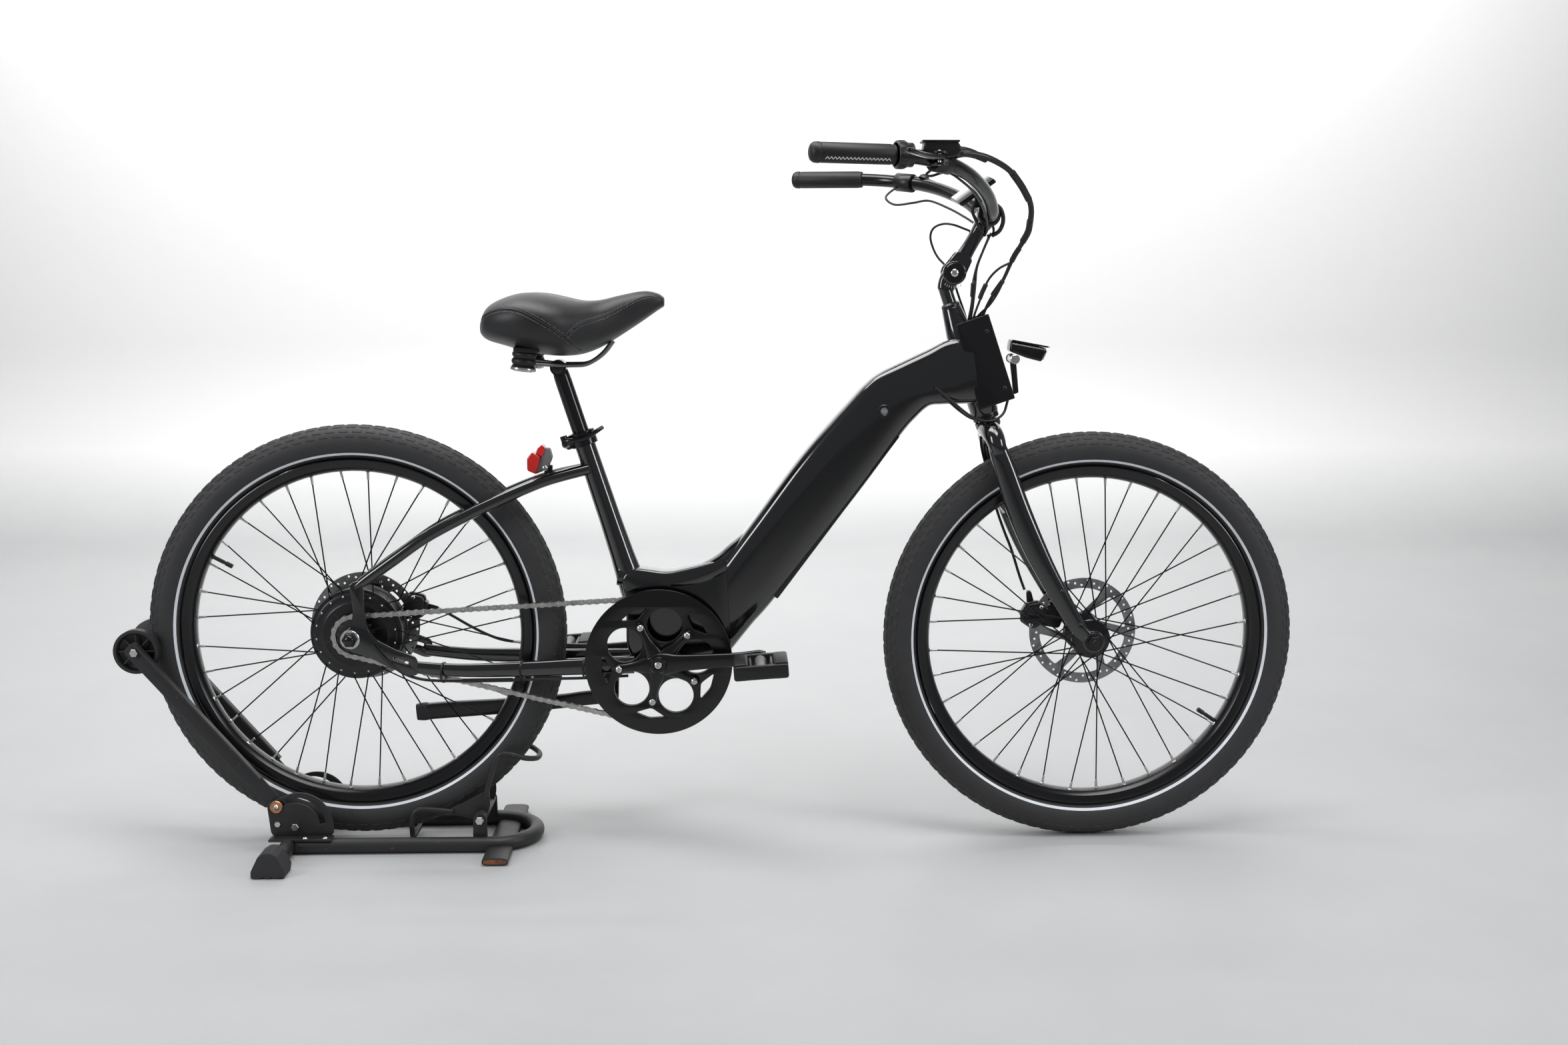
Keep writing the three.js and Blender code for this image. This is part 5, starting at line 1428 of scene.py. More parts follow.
def pedal(angle, side, name, body):
    centre = pedal_axle_place(angle, 0)
    way = Vector((math.cos(PEDAL_TILT), 0, math.sin(PEDAL_TILT)))
    up = Vector((-way.z, 0, way.x))

    def block(half_long, half_thick, at, y0, y1, bevel, corner=4.0):
        outline = [centre + way * (at + sx * half_long) + up * sz * half_thick
                   for sx, sz in ((-1, -1), (1, -1), (1, 1), (-1, 1))]
        return plate(softened([(p.x, p.z) for p in outline], corner), side * y0, side * y1, bevel)

    half_long, half_thick = PEDAL_LONG / 2, PEDAL_THICK / 2
    frame_parts = [block(half_long - 1, half_thick - 2.5, 0, 92, 101, 1.6, 5),
                   block(half_long - 1, half_thick - 2.5, 0, 178, 187, 1.6, 5)]
    for sign in (1, -1):
        frame_parts.append(block(3.4, half_thick - 3, sign * (half_long - 7.5), 96, 184, 1.0, 2))
        frame_parts.append(block(2.6, half_thick - 5, sign * 17, 98, 182, 1.0, 2))
    treads = []
    for sign in (1, -1):
        treads.append(block(11.5, half_thick, sign * (half_long - 12), 101.4, 177.6, 1.8, 5))
    barrel = turned([(0.01, 0), (8.2, 0), (9.4, 2), (9.4, 20), (8.2, 26), (8.2, 62), (9.4, 68), (9.4, 88),
                     (7, 92), (0.01, 92)], (centre.x, side * 94, centre.z), (0, side, 0), 32)
    axle = rod((centre.x, side * 71, centre.z), (centre.x, side * 96, centre.z), 6.2)
    piece(name + "_frame", together(frame_parts), PLASTIC, body, (name,))
    piece(name + "_treads", together(treads), GRIP_RUBBER, body)
    piece(name + "_barrel", barrel, GREY_PLASTIC, body)
    piece(name + "_axle_end", axle, SILVER, body)


pedal(RIGHT_CRANK_ANGLE, -1, "right_pedal", "right_pedal")
pedal(RIGHT_CRANK_ANGLE + 180, 1, "left_pedal", "left_pedal")
print("drivetrain on")
# %% [markdown]
# ## Fork
#
# A rigid gloss fork: a round arched crown splits into two blades that flatten and sweep
# forward to the axle. Each blade is a loft of ovals, drawn once and mirrored.

# %% Fork
BLADE = ((433, 41, 676, 20, 18), (436, 45, 668, 26, 21), (442, 49, 650, 31, 22), (452, 50.5, 622, 35, 22),
         (474.5, 51.5, 558, 39, 22), (498, 53, 503, 38, 20), (521.5, 54, 456, 34, 18),
         (551, 54.5, 404, 30, 15), (575.5, 54.5, 363, 25, 12), (592, 54, 346, 22, 8))
blade = oval_tube(BLADE, 28, 6, 2.2)
ARCH = ((441, 50, 648), (438, 48, 664), (434, 38, 677), (431, 20, 684), (430, 0, 686))
arch = tube(there_and_back(ARCH), [12, 15, 16.5, 17, 17.5, 17, 16.5, 15, 12], 24)
steerer = turned([(0.01, -12), (19, -12), (21, -8), (21, 0), (14.3, 1), (14.3, 192), (0.01, 192)],
                 HEAD_FOOT, HEAD_WAY, 40)
ends = together([plate(circle(FRONT_AXLE.x, FRONT_AXLE.z, 18, 40), side * 51, side * 57, 1.2)
                 for side in (1, -1)])
piece("fork_crown_and_blades", blade + blade.mirrored() + arch + steerer + ends, GLOSS, "fork",
      ("fork",), sharp=50)
eyelets = together([dome_bolt((x, side * y, z), (0, side, 0), 4.2, 2.4) for side in (1, -1)
                    for x, y, z in ((546, 61.5, 424), (578, 60.5, 368))])
piece("fork_mount_screws", eyelets, SATIN, "fork")
washers, nuts = [], []
for side in (1, -1):
    washer, nut = axle_end(FRONT_AXLE, side, 57.2, 8, 11, dome=False)
    washers.append(washer)
    nuts.append(nut)
front_shaft = rod(FRONT_AXLE - Vector((0, 62, 0)), FRONT_AXLE + Vector((0, 62, 0)), 4.9)
piece("front_axle_nuts", together(nuts) + front_shaft, SATIN, "fork", ("front_axle",))
piece("front_axle_washers", together(washers), SATIN, "fork")

# %% Rear axle
washers, nuts = [], []
for side in (1, -1):
    washer, nut = axle_end(REAR_AXLE, side, 73.7, 8.5, 12.5)
    washers.append(washer)
    nuts.append(nut)
rear_shaft = rod(REAR_AXLE - Vector((0, 78, 0)), REAR_AXLE + Vector((0, 78, 0)), 6.8)
piece("rear_axle_nuts", together(nuts) + rear_shaft, GLOSS_PLASTIC, "frame", ("rear_axle",))
piece("rear_axle_washers", together(washers), SILVER, "frame")

# %% [markdown]
# ## Brake rotors
#
# A rotor is laser-cut from a steel sheet: a drilled braking band hangs on slanted arms
# from a small bolted ring. The arms lean, so the band can grow when it is hot.


# %% Rotors
ROTOR_RADIUS = 90.0
FRONT_ROTOR_Y = 38
REAR_ROTOR_Y = 49
ROTOR_WINDOWS = 6


def rotor(centre, y, name, body, inner=18.0):
    holes = [circle(centre.x, centre.z, inner, 40)]
    for i in range(ROTOR_WINDOWS):
        start = 360 * i / ROTOR_WINDOWS
        step = 360 / ROTOR_WINDOWS
        outer = [polar(centre, 73, start + 4 + (step - 12) * k / 5) for k in range(6)]
        lower = [polar(centre, 33, start + 30 + (step - 22) * (1 - k / 3)) for k in range(4)]
        holes.append(softened(outer + lower, 4, 3))
    count = 48
    for i in range(count):
        radius = (78.0, 82.0, 86.0)[i % 3]
        holes.append(circle(*polar(centre, radius, 360 * (i + 0.3) / count), 1.9, 10))
    disc = plate(circle(centre.x, centre.z, ROTOR_RADIUS, 120), y - 1, y + 1, 0.25, holes, 0)
    piece(name + "_disc", disc, ROTOR_STEEL, body, (name,), sharp=30)
    heads = together([dome_bolt((*polar(centre, 23, 60 * i + 10)[:1], y + 1,
                                 polar(centre, 23, 60 * i + 10)[1]), (0, 1, 0), 3.6, 2) for i in range(6)])
    piece(name + "_bolts", heads, SILVER, body)


rotor(FRONT_AXLE, FRONT_ROTOR_Y, "front_rotor", "front_wheel")
rotor(REAR_AXLE, REAR_ROTOR_Y, "rear_rotor", "rear_wheel", 20)

# %% [markdown]
# ## Brake calipers
#
# A cable caliper is a lump of castings bolted over the rotor: a body in two halves, a
# round pad adjuster with a knurled edge, an arm pulled by the cable and two long bolts.


# %% Calipers
REAR_CALIPER = Vector((REAR_AXLE.x + 82, 0, REAR_AXLE.z + 30))
FRONT_CALIPER = Vector((FRONT_AXLE.x - 83, 0, FRONT_AXLE.z + 28))


def caliper(at, low, high, disc_y, lean):
    """The two halves, the adjuster, the bolts and the bridge of one caliper."""
    a = math.radians(lean)
    way, up = Vector((math.cos(a), 0, math.sin(a))), Vector((-math.sin(a), 0, math.cos(a)))

    def block(corners, y0, y1, bevel=2.0, corner=5):
        outline = [at + way * x + up * z for x, z in corners]
        return plate(softened([(p.x, p.z) for p in outline], corner), y0, y1, bevel)

    body = [(-19, -24), (4, -24), (17, -14), (20, 4), (13, 22), (-12, 24), (-20, 12)]
    outer = block(body, disc_y + 2.4, high, 2.6)
    inner = block([(x * 0.92, z * 0.9) for x, z in body], low, disc_y - 2.4, 2.4)
    bridge_x = 15
    bridge = block([(bridge_x, -12), (bridge_x + 6, -9), (bridge_x + 6, 12), (bridge_x, 14)],
                   low + 2, high - 2, 1.5, 2)
    bosses = [turned([(0.01, high - 4), (15.5, high - 4), (15.5, high - 1), (14, high + 0.3),
                      (0.01, high + 0.3)], (at.x, 0, at.z), (0, 1, 0), 36)]
    knurl = []
    for i in range(20):
        b = 2 * math.pi * i / 20
        knurl.append(rod((at.x + 13 * math.cos(b), low - 2.2, at.z + 13 * math.sin(b)),
                         (at.x + 13 * math.cos(b), low + 2, at.z + 13 * math.sin(b)), 1.4, steps=8))
    bosses.append(turned([(0.01, low - 2), (13, low - 2), (13, low + 2), (0.01, low + 2)],
                         (at.x, 0, at.z), (0, 1, 0), 36))
    bolts = []
    for z in (-17, 17):
        p = at + up * z - way * 4
        bolts.append(dome_bolt((p.x, high - 1, p.z), (0, 1, 0), 4.4, 3))
        bolts.append(dome_bolt((p.x, low + 1, p.z), (0, -1, 0), 4.0, 2.6))
    return together([outer, inner, bridge, *bosses, *knurl]), together(bolts)


def mount_bracket(at, axle, y0, y1, reach):
    """The flat bracket from the caliper to the fork or the stay."""
    middle = (at + axle) / 2
    outline = [at + Vector((-10, 0, 16)), at + Vector((12, 0, 14)), middle + Vector(reach),
               middle + Vector((reach[0] * 0.2, 0, -12)), at + Vector((4, 0, -18)), at + Vector((-8, 0, -10))]
    return plate(softened([(p.x, p.z) for p in outline], 6), y0, y1, 1.0)


def pull_arm(at, y, reach, name, body):
    dx, dz = reach
    way = Vector((dx, 0, dz)).normalized()
    across = Vector((-way.z, 0, way.x))
    tip = at + Vector((dx, 0, dz))
    outline = [at + across * 8, tip + across * 4.5, tip + way * 4, tip - across * 4.5, at - across * 8,
               at - way * 7]
    web = plate(softened([(p.x, p.z) for p in outline], 4), y, y + 3, 0.7)
    clamp = turned([(0.01, -1.5), (5, -1.5), (5, 1), (0.01, 1)], (tip.x, y + 3, tip.z), (0, 1, 0), 6)
    boss = dome_bolt((at.x, y + 2.8, at.z), (0, 1, 0), 7, 2.6)
    piece(name + "_web", web, SATIN, body, (name,))
    piece(name + "_bolts", clamp + boss, SILVER, body)


rear_body, rear_bolts = caliper(REAR_CALIPER, 40, 62.6, REAR_ROTOR_Y, -10)
piece("rear_caliper_body", rear_body, SATIN, "frame", ("rear_caliper",))
piece("rear_caliper_bolts", rear_bolts, SILVER, "frame")
front_body, front_bolts = caliper(FRONT_CALIPER, 31, 51.6, FRONT_ROTOR_Y, 150)
piece("front_caliper_body", front_body, SATIN, "fork", ("front_caliper",))
piece("front_caliper_bolts", front_bolts, SILVER, "fork")
piece("front_caliper_bracket", mount_bracket(FRONT_CALIPER, FRONT_AXLE, 44, 50, (18, 0, 28)), SATIN,
      "fork")
pull_arm(REAR_CALIPER, 63.4, (34, -6), "rear_caliper_arm", "rear_caliper_arm")
pull_arm(FRONT_CALIPER, 52.4, (-6, 34), "front_caliper_arm", "front_caliper_arm")
front_stub = rod((FRONT_CALIPER.x, 41, FRONT_CALIPER.z), (FRONT_CALIPER.x, 57, FRONT_CALIPER.z), 3.6)
rear_stub = rod((REAR_CALIPER.x, 52, REAR_CALIPER.z), (REAR_CALIPER.x, 68, REAR_CALIPER.z), 3.6)
piece("front_caliper_pin", front_stub, SILVER, "fork")
piece("rear_caliper_pin", rear_stub, SILVER, "frame")
print("brakes on")

# %% [markdown]
# ## Controller box and headlight
#
# The electronics sit in an open-topped plastic box clamped round the head tube; two
# screws close each side and the leads drop in at the top. The headlight is a wedge on a
# bent bracket, with a bright trim line along its flank and a knob that sets its tilt.


# %% Controller box
def box_outline(inset=0.0):
    corners = [(23, -10, 1, 1), (23, 51, 1, -1), (166, 51, -1, -1), (166, -4, -1, 1)]
    return [on_head(s + inset * a, t + inset * b) for s, t, a, b in corners]


def flat(points):
    return [(p.x, p.z) for p in points]


cheek_plates = [plate(softened(flat(box_outline()), 4), side * 26, side * 29, 1.0) for side in (1, -1)]
front_wall = plate(softened(flat([on_head(23, 47), on_head(23, 51), on_head(166, 51),
                                  on_head(166, 47)]), 1.2), -28, 28, 0.8)
floor_wall = plate(softened(flat([on_head(23, 24.5), on_head(23, 50), on_head(27, 50),
                                  on_head(27, 24.5)]), 1), -28, 28, 0.8)
rear_lips = [plate(softened(flat([on_head(30, -9), on_head(30, -5), on_head(160, -2.4),
                                  on_head(160, -5.5)]), 1), side * 22.6, side * 28, 0.8) for side in (1, -1)]
lid = plate(softened(flat([on_head(158, 20), on_head(158, 48), on_head(162, 48), on_head(162, 20)]), 1),
            -27, 27, 0.8)
piece("controller_case", together(cheek_plates + [front_wall, floor_wall, lid] + rear_lips), GLOSS_PLASTIC,
      "frame", ("controller_box",))
case_screws = together([dome_bolt(on_head(s, t, side * 28.8), (0, side, 0), 3.6, 1.6)
                        for side in (1, -1) for s, t in ((140, 40), (44, 40))])
piece("controller_screws", case_screws, SATIN, "frame")

# %% Headlight
LAMP_OUTLINE = ((461, 812), (463, 828), (500, 821.5), (519, 817), (522, 812), (513, 794.5), (488, 801))
lamp_body = plate(softened(LAMP_OUTLINE, 3.5), -19, 19, 4, rounds=3)
visor = plate(softened([(463, 828), (521, 817.2), (527, 818), (522, 820), (466, 830.5)], 1), -20, 20, 0.8)
trim = together([plate(softened([(465, 823.2), (518, 813.4), (518.4, 815.2), (465.4, 825)], 0.6),
                       side * 18.6, side * 19.6, 0.3) for side in (1, -1)])
lens = plate(softened([(517, 797.5), (522.6, 811.6), (519.8, 812.6), (514.2, 798.6)], 1), -16, 16, 1.0)
bracket = plate(softened([(463, 806), (473, 806), (479, 744), (471, 741)], 2), -5, 5, 1.2)
piece("headlight_housing", lamp_body + visor, GLOSS_PLASTIC, "headlight", ("headlight",))
piece("headlight_trim", trim, SILVER, "headlight")
piece("headlight_lens", lens, REFLECTIVE_WHITE, "headlight")
knob = rod((469, -23, 799), (469, 23, 799), 6.5)
knob_caps = together([turned([(0.01, 0), (7.8, 0), (7.8, 2.4), (6.6, 3.4), (0.01, 3.4)],
                             (469, side * 22, 799), (0, side, 0), 24) for side in (1, -1)])
piece("headlight_knob", knob + knob_caps, SILVER, "headlight")
piece("headlight_bracket", bracket, SATIN, "frame")

# %% [markdown]
# ## Rear light
#
# Two stepped red lenses on a grey housing, bolted to the bridge between the seatstays.


# %% Rear light
def red_lens():
    made = Finish("red_lens")
    ribs = (made.node("ShaderNodeTexWave", {"bands_direction": "Z"}, Vector=made.where(), Scale=140))
    cloud = made.noise(60, 2)
    return made.surface(made.blend(cloud, (0.55, 0.008, 0.006), (0.80, 0.02, 0.012)), 0.12 + 0.06 * cloud,
                        0.0, Normal=made.bump(ribs, 0.15, 0.4), Coat_Weight=0.6)


RED = red_lens()
lens_low = plate(softened([(-320, 620), (-306, 614), (-298, 642), (-312, 650), (-320, 640)], 3), -18, 18, 2.4)
lens_high = plate(softened([(-306, 646), (-295, 642), (-290, 656), (-296, 662), (-304, 655)], 2.5),
                  -15, 15, 2)
piece("rear_light_lenses", lens_low + lens_high, RED, "frame", ("rear_light",))
housing = plate(softened([(-309, 613), (-288, 621), (-280, 640), (-284, 655), (-292, 655), (-300, 636)], 3),
                -13, 13, 2)
clip = plate(softened([(-296, 600), (-282, 602), (-280, 628), (-292, 626)], 3), -6, 6, 1)
piece("rear_light_housing", housing, GREY_PLASTIC, "frame")
piece("rear_light_clip", clip, PLASTIC, "frame")
piece("rear_light_bolt", dome_bolt((-291.7, -13, 624), (0, -1, 0), 5, 3), SILVER, "frame")

# %% [markdown]
# ## Kickstand and the leads on the stays
#
# The folded kickstand is a pressed leg with a rubber-tipped end; the groove down its face
# is not drawn. The motor's lead follows the right chainstay, held by small ties, and the rear
# brake's lead follows the left one.

# %% Kickstand
LEG = ((-196, 49, 230, 24, 13), (-240, 54, 225, 24, 13.5), (-280, 59, 219, 24, 14), (-380, 68, 209, 26, 14),
       (-460, 74, 203, 28, 15), (-516, 78, 198, 28, 16))
leg = oval_tube(LEG, 28, 6, 4.0)
root = turned([(0.01, 40.6), (13.5, 40.6), (15, 42), (15, 54.6), (13.5, 56), (0.01, 56)], (-196, 0, 232),
              (0, 1, 0), 40)
piece("kickstand_leg", leg + root, SATIN, "kickstand", ("kickstand",), sharp=45)
tip = oval_tube(((-506, 77.6, 198.8, 29, 17), (-514, 78, 198.2, 30, 18), (-526, 78.4, 197.2, 27, 16)),
                24, 4, 4.0)
piece("kickstand_tip", tip, FOOT_RUBBER, "kickstand")
pivot_bolt = dome_bolt((-196, 56, 232), (0, 1, 0), 8, 4)
piece("kickstand_pivot_bolt", pivot_bolt, SILVER, "kickstand")
hanger = plate(softened([(-214, 306), (-178, 308), (-180, 226), (-196, 214), (-212, 226)], 8), 28, 40, 1.5)
piece("kickstand_hanger", hanger, GLOSS, "frame")

# %% Leads on the chainstay
stay_lead = tube([(-566, -76, 346), (-545, -76, 322), (-520, -72, 300), (-490, -68, 288), (-450, -64, 284),
                  (-400, -60, 283.5), (-340, -55, 283), (-280, -45, 282), (-220, -36, 281), (-160, -27, 282)],
                 2.4, 10)
sleeve = tube([(-425, -62, 283.8), (-380, -58.6, 283.4), (-345, -55.4, 283.1)], 3.6, 12)
ties = together([turned([(15.5, -1.6), (17, -1.6), (17, 1.6), (15.5, 1.6)], (x, -y, z), (1, -0.12, 0), 24,
                        closed=True) for x, y, z in ((-455, 63.6, 298), (-330, 51.5, 297), (-230, 35, 297))])
piece("motor_lead", stay_lead, CABLE_BLACK, "frame")
piece("motor_lead_sleeve", sleeve, PLASTIC, "frame")
piece("stay_ties", ties, PLASTIC, "frame")
brake_lead = tube([(-482, 66, 378), (-460, 66, 366), (-430, 66, 348), (-400, 65, 333), (-370, 61, 324),
                   (-320, 52, 321), (-260, 40, 320), (-200, 32, 320)], 2.4, 10)
piece("rear_brake_lead", brake_lead, CABLE_BLACK, "frame")
print("fittings on")
# %% [markdown]
# ## Stem and handlebar
#
# A quill rises from the steerer to a knuckle; a forged arm pivots on it and grips the
# bar. One big bolt locks the angle, so it sits in a black ring with bright tick marks
# below. The bar is a single bent tube, drawn for the right half and mirrored.

# %% Quill and stem arm
STEM_PIVOT = Vector((370, 0, 937))
BAR_MIDDLE = Vector((424, 0, 1028))
quill_foot = on_head(120)
quill_length = (on_head(232) - quill_foot).length
quill = turned([(0.01, 0), (11.1, 0), (11.1, quill_length), (0.01, quill_length)], quill_foot, HEAD_WAY, 40)
neck = oval_tube(((on_head(224).x, 0, on_head(224).z, 22.4, 22.4), (357.5, 0, 912, 27, 22),
                  (362, 0, 924, 31, 21.6), (370, 0, 937, 33, 21.4)), 32, 6, 2.6)
knuckle = turned([(0.01, -10.8), (16, -10.8), (17, -9.8), (17, 9.8), (16, 10.8), (0.01, 10.8)],
                 STEM_PIVOT, (0, 1, 0), 48)
piece("stem_quill", quill + neck + knuckle, GLOSS, "fork", ("stem_base",), sharp=50)
wedge_nut = turned([(0.01, 0), (13.8, 0), (15.2, 2), (15.2, 12), (12, 15), (0.01, 15)], on_head(186),
                   HEAD_WAY, 40)
piece("headset_cap", wedge_nut, SATIN, "fork")

stem_way = (BAR_MIDDLE - STEM_PIVOT).normalized()
stem_across = Vector((-stem_way.z, 0, stem_way.x))


def on_stem(along, across=0.0, y=0.0):
    return STEM_PIVOT + stem_way * along + stem_across * across + Vector((0, y, 0))


def stem_stations(rows):
    return [(*on_stem(along, across), tall, thin) for along, across, tall, thin in rows]


beam = oval_tube(stem_stations(((19, 0, 30, 36), (32, 0, 26, 33), (50, 0, 23.5, 30), (70, 0, 23.5, 31),
                                (86, 0, 27, 36), (96, 0, 31, 40), (104, 0, 30, 42))), 36, 6, 3.0)
cheeks = [turned([(0.01, 11.4), (18, 11.4), (19, 12.4), (19, 18), (18, 19), (0.01, 19)], STEM_PIVOT,
                 (0, side, 0), 48) for side in (1, -1)]
webs = [plate(softened(flat([on_stem(2, -18), on_stem(34, -14), on_stem(34, 14), on_stem(2, 18)]), 6),
              side * 11.4, side * 18.4, 2) for side in (1, -1)]
clamp_ring = turned([(13.2, -22), (17, -22), (18.4, -20), (18.4, 20), (17, 22), (13.2, 22)], BAR_MIDDLE,
                    (0, 1, 0), 48, closed=True)
piece("stem_forging", together([beam, *cheeks, *webs, clamp_ring]), GLOSS, "bars", ("stem_arm",),
      sharp=50)
pivot_ring = turned([(7.6, 18.4), (15.5, 18.4), (16, 19.6), (15, 20.8), (7.6, 20.8)], STEM_PIVOT,
                    (0, -1, 0), 48, closed=True)
piece("stem_pivot_ring", pivot_ring + pivot_ring.mirrored(), GLOSS_PLASTIC, "bars")
piece("stem_pivot_bolt", dome_bolt((370, -19, 937), (0, -1, 0), 7.2, 3.2)
      + dome_bolt((370, 19, 937), (0, 1, 0), 7.2, 3.2), SILVER, "bars")
ticks = []
for i in range(8):
    a = math.radians(-128 + 9.5 * i)
    inner, outer = 20.4, 24.6
    ticks.append(rod((370 + inner * math.cos(a), -11, 937 + inner * math.sin(a)),
                     (370 + outer * math.cos(a), -11, 937 + outer * math.sin(a)), 0.5, steps=6))
piece("stem_tick_marks", together(ticks), THREAD_WHITE, "fork")
face_bolts = [dome_bolt(on_stem(106, side_z * 12.5, side * 14) + stem_way * 11, stem_way, 4.2, 2.6)
              for side in (1, -1) for side_z in (1, -1)]
piece("stem_clamp_bolts", together(face_bolts), SATIN, "bars")

# %% Handlebar
BAR_PATH = ((424, 0, 1028), (424, -22, 1028), (422, -58, 1033), (409, -105, 1052), (388, -155, 1069),
            (362, -205, 1083), (330, -250, 1093), (290, -283, 1099), (245, -303, 1102.5),
            (185, -320, 1103.5), (126, -334.6, 1103.5))
bar_radii = [12.8, 12.6, 11.2] + [11.0] * (len(BAR_PATH) - 3)
half_bar = tube(BAR_PATH, bar_radii, 28, 8)
piece("bar_tube", half_bar + half_bar.mirrored(), BAR_BLACK, "bars", ("handlebar",))

# %% [markdown]
# ## Grips
#
# Imitation-leather grips sewn along their lower edge. The cap has a rounded face and a
# step, and the thread zigzags across the joint, so we lay it as a zigzag of short rods.

# %% Grips and end caps
GRIP_BACK, GRIP_FRONT = Vector((121, -336, 1103.5)), Vector((246, -302.6, 1102.5))
GRIP_WAY = (GRIP_FRONT - GRIP_BACK).normalized()
GRIP_LENGTH = (GRIP_FRONT - GRIP_BACK).length
grip_profile = [(0.01, 0.4), (7, 0.8), (12, 3), (14.6, 7), (15.2, 12), (15.2, 15), (14.3, 16), (14.3, 17.4),
                (14.8, 18.2), (14.8, GRIP_LENGTH - 8), (14.2, GRIP_LENGTH - 6), (14.2, GRIP_LENGTH - 2),
                (13, GRIP_LENGTH - 1), (0.01, GRIP_LENGTH - 1)]


def zigzag():
    side, up, _ = axes_from(GRIP_WAY)
    made = []
    count = 34
    for i in range(count):
        places = []
        for k in (i, i + 1):
            along = GRIP_BACK + GRIP_WAY * (21 + (GRIP_LENGTH - 32) * k / count)
            a = math.radians(-34 + (7 if k % 2 else -7))
            down = Vector((0, 0, math.sin(a)))
            out = GRIP_WAY.cross(Vector((0, 0, 1))).normalized() * math.cos(a)
            places.append(along + (down + out) * 15.0)
        made.append(rod(places[0], places[1], 0.7, steps=6, edge=0.1))
    return together(made)


grip = turned(grip_profile, GRIP_BACK, GRIP_WAY, 44)
piece("right_grip_sleeve", grip, GRIP_RUBBER, "bars", ("right_grip",))
piece("left_grip_sleeve", grip.mirrored(), GRIP_RUBBER, "bars", ("left_grip",))
seam_thread = zigzag()
piece("grip_zigzag_thread", seam_thread + seam_thread.mirrored(), THREAD_WHITE, "bars")

# %% [markdown]
# ## Throttle, levers and switch pod
#
# Inboard of the right grip come a short twist throttle with ribs, the lever and its
# clamp, and the flat pod that gathers the leads. The left side carries the same lever.


# %% Throttle, pod and levers
def along_grip(distance, radius_profile, steps=40):
    return turned(radius_profile, GRIP_BACK + GRIP_WAY * distance, GRIP_WAY, steps, closed=True)


throttle_start = GRIP_LENGTH * 1.0
collar = along_grip(throttle_start, [(16.8, 0.5), (19, 0.5), (20, 1.5), (20, 13), (19, 15), (17.5, 17),
                                     (17.5, 25), (16.8, 25.5)])
ribs = []
for i in range(14):
    a = 2 * math.pi * i / 14
    side, up, _ = axes_from(GRIP_WAY)
    out = side * math.cos(a) + up * math.sin(a)
    foot = GRIP_BACK + GRIP_WAY * (throttle_start + 2.5) + out * 19.6
    ribs.append(rod(foot, foot + GRIP_WAY * 10, 1.1, steps=8))
piece("throttle_collar", collar + together(ribs), PLASTIC, "throttle", ("throttle",))


def pod_clamp():
    band_start, band_end = Vector((330, -250, 1093)), Vector((304, -271.5, 1096.8))
    way = band_end - band_start
    band = turned([(11.4, 0), (15, 0), (16, 1), (16, way.length - 1), (15, way.length), (11.4, way.length)],
                  band_start, way, 36, closed=True)
    ear_profile = [(0.01, 0), (11, 0), (12, 0.8), (12, 3.4), (11, 4), (0.01, 4)]
    ears = [turned(ear_profile, (311, -290, z), (0, 0, 1), 32) for z in (1088, 1104.5)]
    back = rod((312, -282, 1088), (312, -282, 1108), 6)
    return together([band, back, *ears])


def pod_cover():
    outline = [(287, 1110), (290, 1123.6), (310, 1124.6), (337, 1123.6), (344, 1112), (338, 1102),
               (318, 1098), (296, 1104)]
    cover = plate(softened(outline, 4), -290, -254, 3.2, rounds=3)
    boot = tube([(336, -270, 1108), (350, -266, 1109), (366, -259, 1106), (384, -249, 1099)],
                [9, 7.5, 6, 4.6], 20)
    lip = plate(softened([(286, 1121.5), (340, 1121.5), (340, 1124.4), (286, 1124.4)], 1), -293, -251, 1.2)
    return together([cover, boot, lip])


def lever_blade():
    stations = [(309, -298, 1099, 20, 9), (300, -313, 1099, 19, 8.5), (290, -331, 1099, 15, 8),
                (278, -352, 1099.6, 13, 7.5), (266, -374, 1101, 13, 7.5), (259, -386, 1102.5, 11, 7),
                (257.6, -389.5, 1103, 5, 4)]
    rows = flowing(stations, 5)
    rings = []
    for i, (x, y, z, wide, thick) in enumerate(rows):
        before, after = rows[max(i - 1, 0)], rows[min(i + 1, len(rows) - 1)]
        along = Vector((after[0] - before[0], after[1] - before[1], 0)).normalized()
        across = Vector((-along.y, along.x, 0))
        rings.append([Vector((x, y, z)) + across * a + Vector((0, 0, b))
                      for a, b in squircle(wide / 2, thick / 2, 20, 2.6)])
    blade_skin = skin(rings)
    boss = turned([(0.01, -4.6), (6.4, -4.6), (7, -4), (7, 4), (6.4, 4.6), (0.01, 4.6)], (310, -296, 1099),
                  (0, 0, 1), 28)
    return blade_skin + boss


clamp = pod_clamp()
piece("right_pod", clamp + pod_cover(), PLASTIC, "bars", ("control_pod",), sharp=45)
piece("left_clamp", clamp.mirrored(), PLASTIC, "bars", ("left_lever_mount",), sharp=45)
hinge = rod((310, -296, 1087.6), (310, -296, 1109.4), 3)
piece("lever_hinge_pins", hinge + hinge.mirrored(), SILVER, "bars")
lever = lever_blade()
piece("right_lever_blade", lever, BAR_BLACK, "right_brake_lever", ("right_brake_lever",))
piece("left_lever_blade", lever.mirrored(), BAR_BLACK, "left_brake_lever", ("left_brake_lever",))
bell_dome = turned([(0.01, 0), (9, 0), (10, 1), (9.5, 5), (6, 9), (0.01, 10)], (346, 236, 1098),
                   (0.5, 0.2, 0.85), 32)
piece("left_switch", bell_dome, PLASTIC, "bars")


# %% [markdown]
# ## Display
#
# A flat tablet faces the rider on a short hinge. Its glass is nearly black but glossy.


